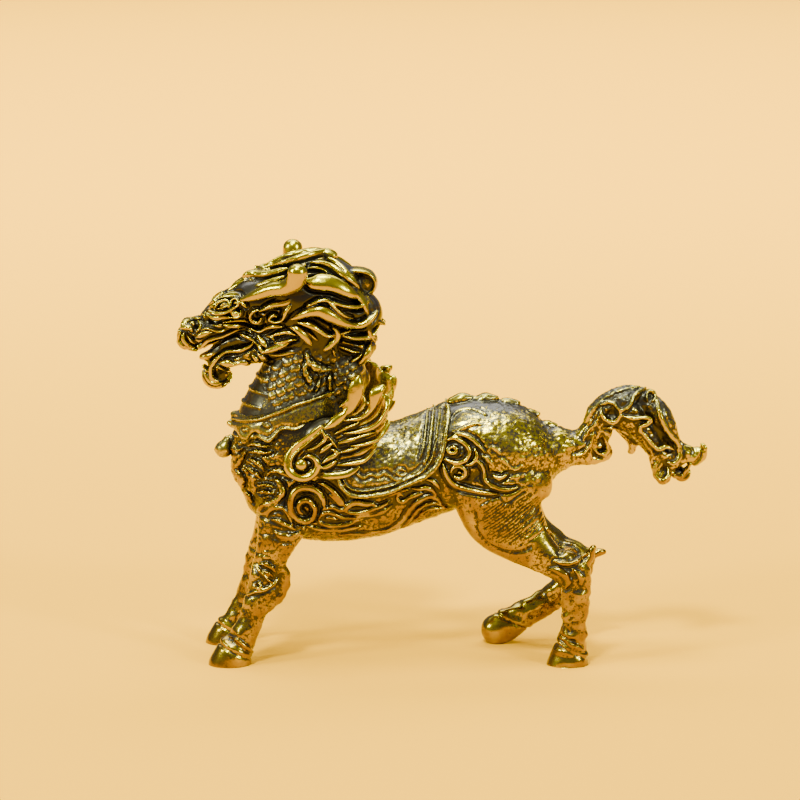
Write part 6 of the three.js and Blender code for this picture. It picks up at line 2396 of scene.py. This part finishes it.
@dataclass
class Studio:
    """The floor of orange paper, the soft lights and the camera."""

    floor_reach: float = 2.5
    floor_colour: Colour = (0.82, 0.4, 0.0, 1.0)
    floor_roughness: float = 0.75
    softboxes: Sequence[Softbox] = (
        Softbox("backdrop", (0.0, 0.62, 0.42), 0.9, 13.0, (1.0, 0.98, 0.9), (0.0, 0.62, 0.0), 100.0),
        Softbox("overhead", (0.0, -0.02, 0.6), 0.2, 5.2, (0.98, 1.0, 0.55)),
        Softbox("key", (-0.1, -0.28, 0.5), 0.07, 4.2, (0.98, 1.0, 0.55)),
        Softbox("left", (-0.5, -0.25, 0.3), 0.075, 2.8, (0.98, 1.0, 0.55)),
        Softbox("fill", (0.45, -0.35, 0.3), 0.075, 2.8, (0.98, 1.0, 0.55)),
    )
    sky_colour: Colour = (1.0, 0.95, 0.82, 1.0)
    sky_strength: float = 0.3
    target: Spot = (-5.4, 0.0, 32.8)
    distance: float = 420.0
    elevation: float = 12.0
    lens: float = 151.2
    sensor: float = 36.0
    nearest: float = 0.01
    furthest: float = 10.0

    def build(self) -> None:
        """Sets up the floor, the lights and the camera."""
        self._floor()
        for softbox in self.softboxes:
            softbox.place()
        self._sky()
        self._camera()

    def _floor(self) -> None:
        """A plain sheet of orange paper."""
        r = self.floor_reach
        mesh = bpy.data.meshes.new("floor")
        mesh.from_pydata([(-r, -r, 0), (r, -r, 0), (r, r, 0), (-r, r, 0)], [], [(0, 1, 2, 3)])
        floor = bpy.data.objects.new("floor", mesh)
        bpy.context.scene.collection.objects.link(floor)
        paper = bpy.data.materials.new("floor_paper")
        paper.use_nodes = True
        shader = paper.node_tree.nodes["Principled BSDF"]
        shader.inputs["Base Color"].default_value = self.floor_colour
        shader.inputs["Roughness"].default_value = self.floor_roughness
        shader.inputs["Specular IOR Level"].default_value = 0.0
        mesh.materials.append(paper)

    def _sky(self) -> None:
        """A dim, even light from all around."""
        world = bpy.data.worlds.new("studio")
        world.use_nodes = True
        sky = world.node_tree.nodes["Background"]
        sky.inputs["Color"].default_value = self.sky_colour
        sky.inputs["Strength"].default_value = self.sky_strength
        bpy.context.scene.world = world

    def _camera(self) -> None:
        """The camera at the photograph's viewing angle."""
        lens = bpy.data.cameras.new("camera")
        lens.lens = self.lens
        lens.sensor_width = self.sensor
        lens.clip_start = self.nearest
        lens.clip_end = self.furthest
        camera = bpy.data.objects.new("camera", lens)
        lift = math.radians(self.elevation)
        away = Vector((0.0, -math.cos(lift), math.sin(lift)))
        camera.location = (Vector(self.target) + self.distance * away) * MM
        camera.rotation_euler = (-away).to_track_quat("-Z", "Y").to_euler()
        bpy.context.scene.collection.objects.link(camera)
        bpy.context.scene.camera = camera


BLURS = ((0.25, 1.5), (0.6, 1.1), (1.6, 0.9))


def shade_of(skins: dict[str, Clay], pieces: Sequence[Casting]) -> dict[str, dict[Shade, Array]]:
    """Works out what is stored at each corner of each piece.

    Args:
        skins: the finished skins by piece name.
        pieces: the pieces.

    Returns:
        For each piece, its values by shade.
    """
    depth = Hollowness(Clay.joined(list(skins.values())))
    grids = [(depth.blurred(reach), weight) for reach, weight in BLURS]
    found = {}
    for piece in pieces:
        skin = skins[piece.name]
        hollow = np.full(len(skin.points), 0.5)
        for grid, weight in grids:
            hollow += weight * (depth.read(grid, skin.points) - 0.5)
        # The dark ground beside raised work, with the painted shadow a member adds there such as under the
        # mane, goes into the hollow share.
        if piece.raised is not None:
            share = sum(member.buried_and_shaded(skin.points) for member in piece.members)
            low = ramp(-piece.raised, -piece.ground_top, -piece.ground_foot)
            hollow += piece.ground * share * low
        found[piece.name] = {
            Shade.HOLLOW: np.clip(hollow, 0, 1),
            Shade.TARNISH: piece.values(skin.points, lambda member, at: member.tarnish(at)),
            Shade.WARMTH: piece.values(skin.points, lambda member, at: member.warmth(at)),
        }
    return found


def show(name: str, skin: Clay, shades: dict[Shade, Array], finish: bpy.types.Material) -> bpy.types.Object:
    """Puts a finished piece into the scene.

    Args:
        name: the piece's name.
        skin: its skin, in millimetres.
        shades: what is stored at its corners.
        finish: its material.

    Returns:
        The object.
    """
    mesh = skin.mesh(name, MM)
    for shade, values in shades.items():
        stored = mesh.attributes.new(shade.value, "FLOAT", "POINT")
        stored.data.foreach_set("value", values.astype(np.float32))
    mesh.polygons.foreach_set("use_smooth", np.ones(len(mesh.polygons), bool))
    mesh.materials.append(finish)
    piece = bpy.data.objects.new(name, mesh)
    bpy.context.scene.collection.objects.link(piece)
    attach(piece, BODY_NAME)
    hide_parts(CASTING_NODE)
    return piece


@dataclass
class RightWing(Casting):
    """The right wing: the left one's mirror image, with its upper part further back."""

    back: float = 0.9
    still_below: float = 27.0
    back_above: float = 34.0

    def build(self) -> Clay:
        """Builds the wing.

        Returns:
            The finished skin, in millimetres.
        """
        left = super().build()
        left.points[:, 0] += self.back * ramp(left.points[:, 2], self.still_below, self.back_above)
        return Clay(left.points * MIRROR, left.triangles[:, ::-1])


BROAD_TIP: Path = (
    (-12.6, 33.0), (-12.0, 35.0), (-11.2, 36.8), (-10.4, 37.0), (-9.5, 36.4), (-8.4, 35.6), (-7.9, 34.7),
    (-7.4, 33.0), (-8.4, 31.0), (-11.0, 31.0),
)


def figurine() -> list[Casting]:
    """The visible pieces of the figurine.

    Returns:
        The pieces, in the order in which they are built.
    """
    cloth = {"pitch": 0.11, "core_smoothing": 1, "finish": TARNISHED}
    wing = {"core_pitch": 0.2, "core_smoothing": 2, "finish": CARVED, "ground": 0.14, "one_sided": True}
    return [
        Casting("horse_body", [Trunk(), Neck(), Legs(), Tail()], limit=195000, finish=WORN, ground=0.19),
        Casting("dragon_face", [Head()], pitch=0.08, limit=150000, finish=CARVED, ground=0.36),
        Casting("mane", [Mane()], pitch=0.1, limit=190000, finish=CARVED, ground=0.42),
        Casting("saddle_cloth", [Saddle()], limit=110000, **cloth),
        Casting("breast_cloth", [BreastCloth()], limit=70000, **cloth),
        Casting("wing_left", [Wings()], pitch=0.09, limit=75000, **wing),
        RightWing("wing_right", [Wings(web=BROAD_TIP)], pitch=0.1, limit=55000, **wing),
    ]


def main() -> None:
    """Builds the scene: the frame, the pieces, the finishes and the studio."""
    logging.basicConfig(level=logging.INFO, format="%(message)s")
    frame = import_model()
    log.info("frame loaded with %d nodes", len(frame["nodes"]))
    pieces = figurine()
    skins = {piece.name: piece.build() for piece in pieces}
    shades = shade_of(skins, pieces)
    layers = antique_layers()
    finishes = {finish: finish.material(layers) for finish in {piece.finish for piece in pieces}}
    for piece in pieces:
        show(piece.name, skins[piece.name], shades[piece.name], finishes[piece.finish])
    Studio().build()


if __name__ == "__main__":
    main()
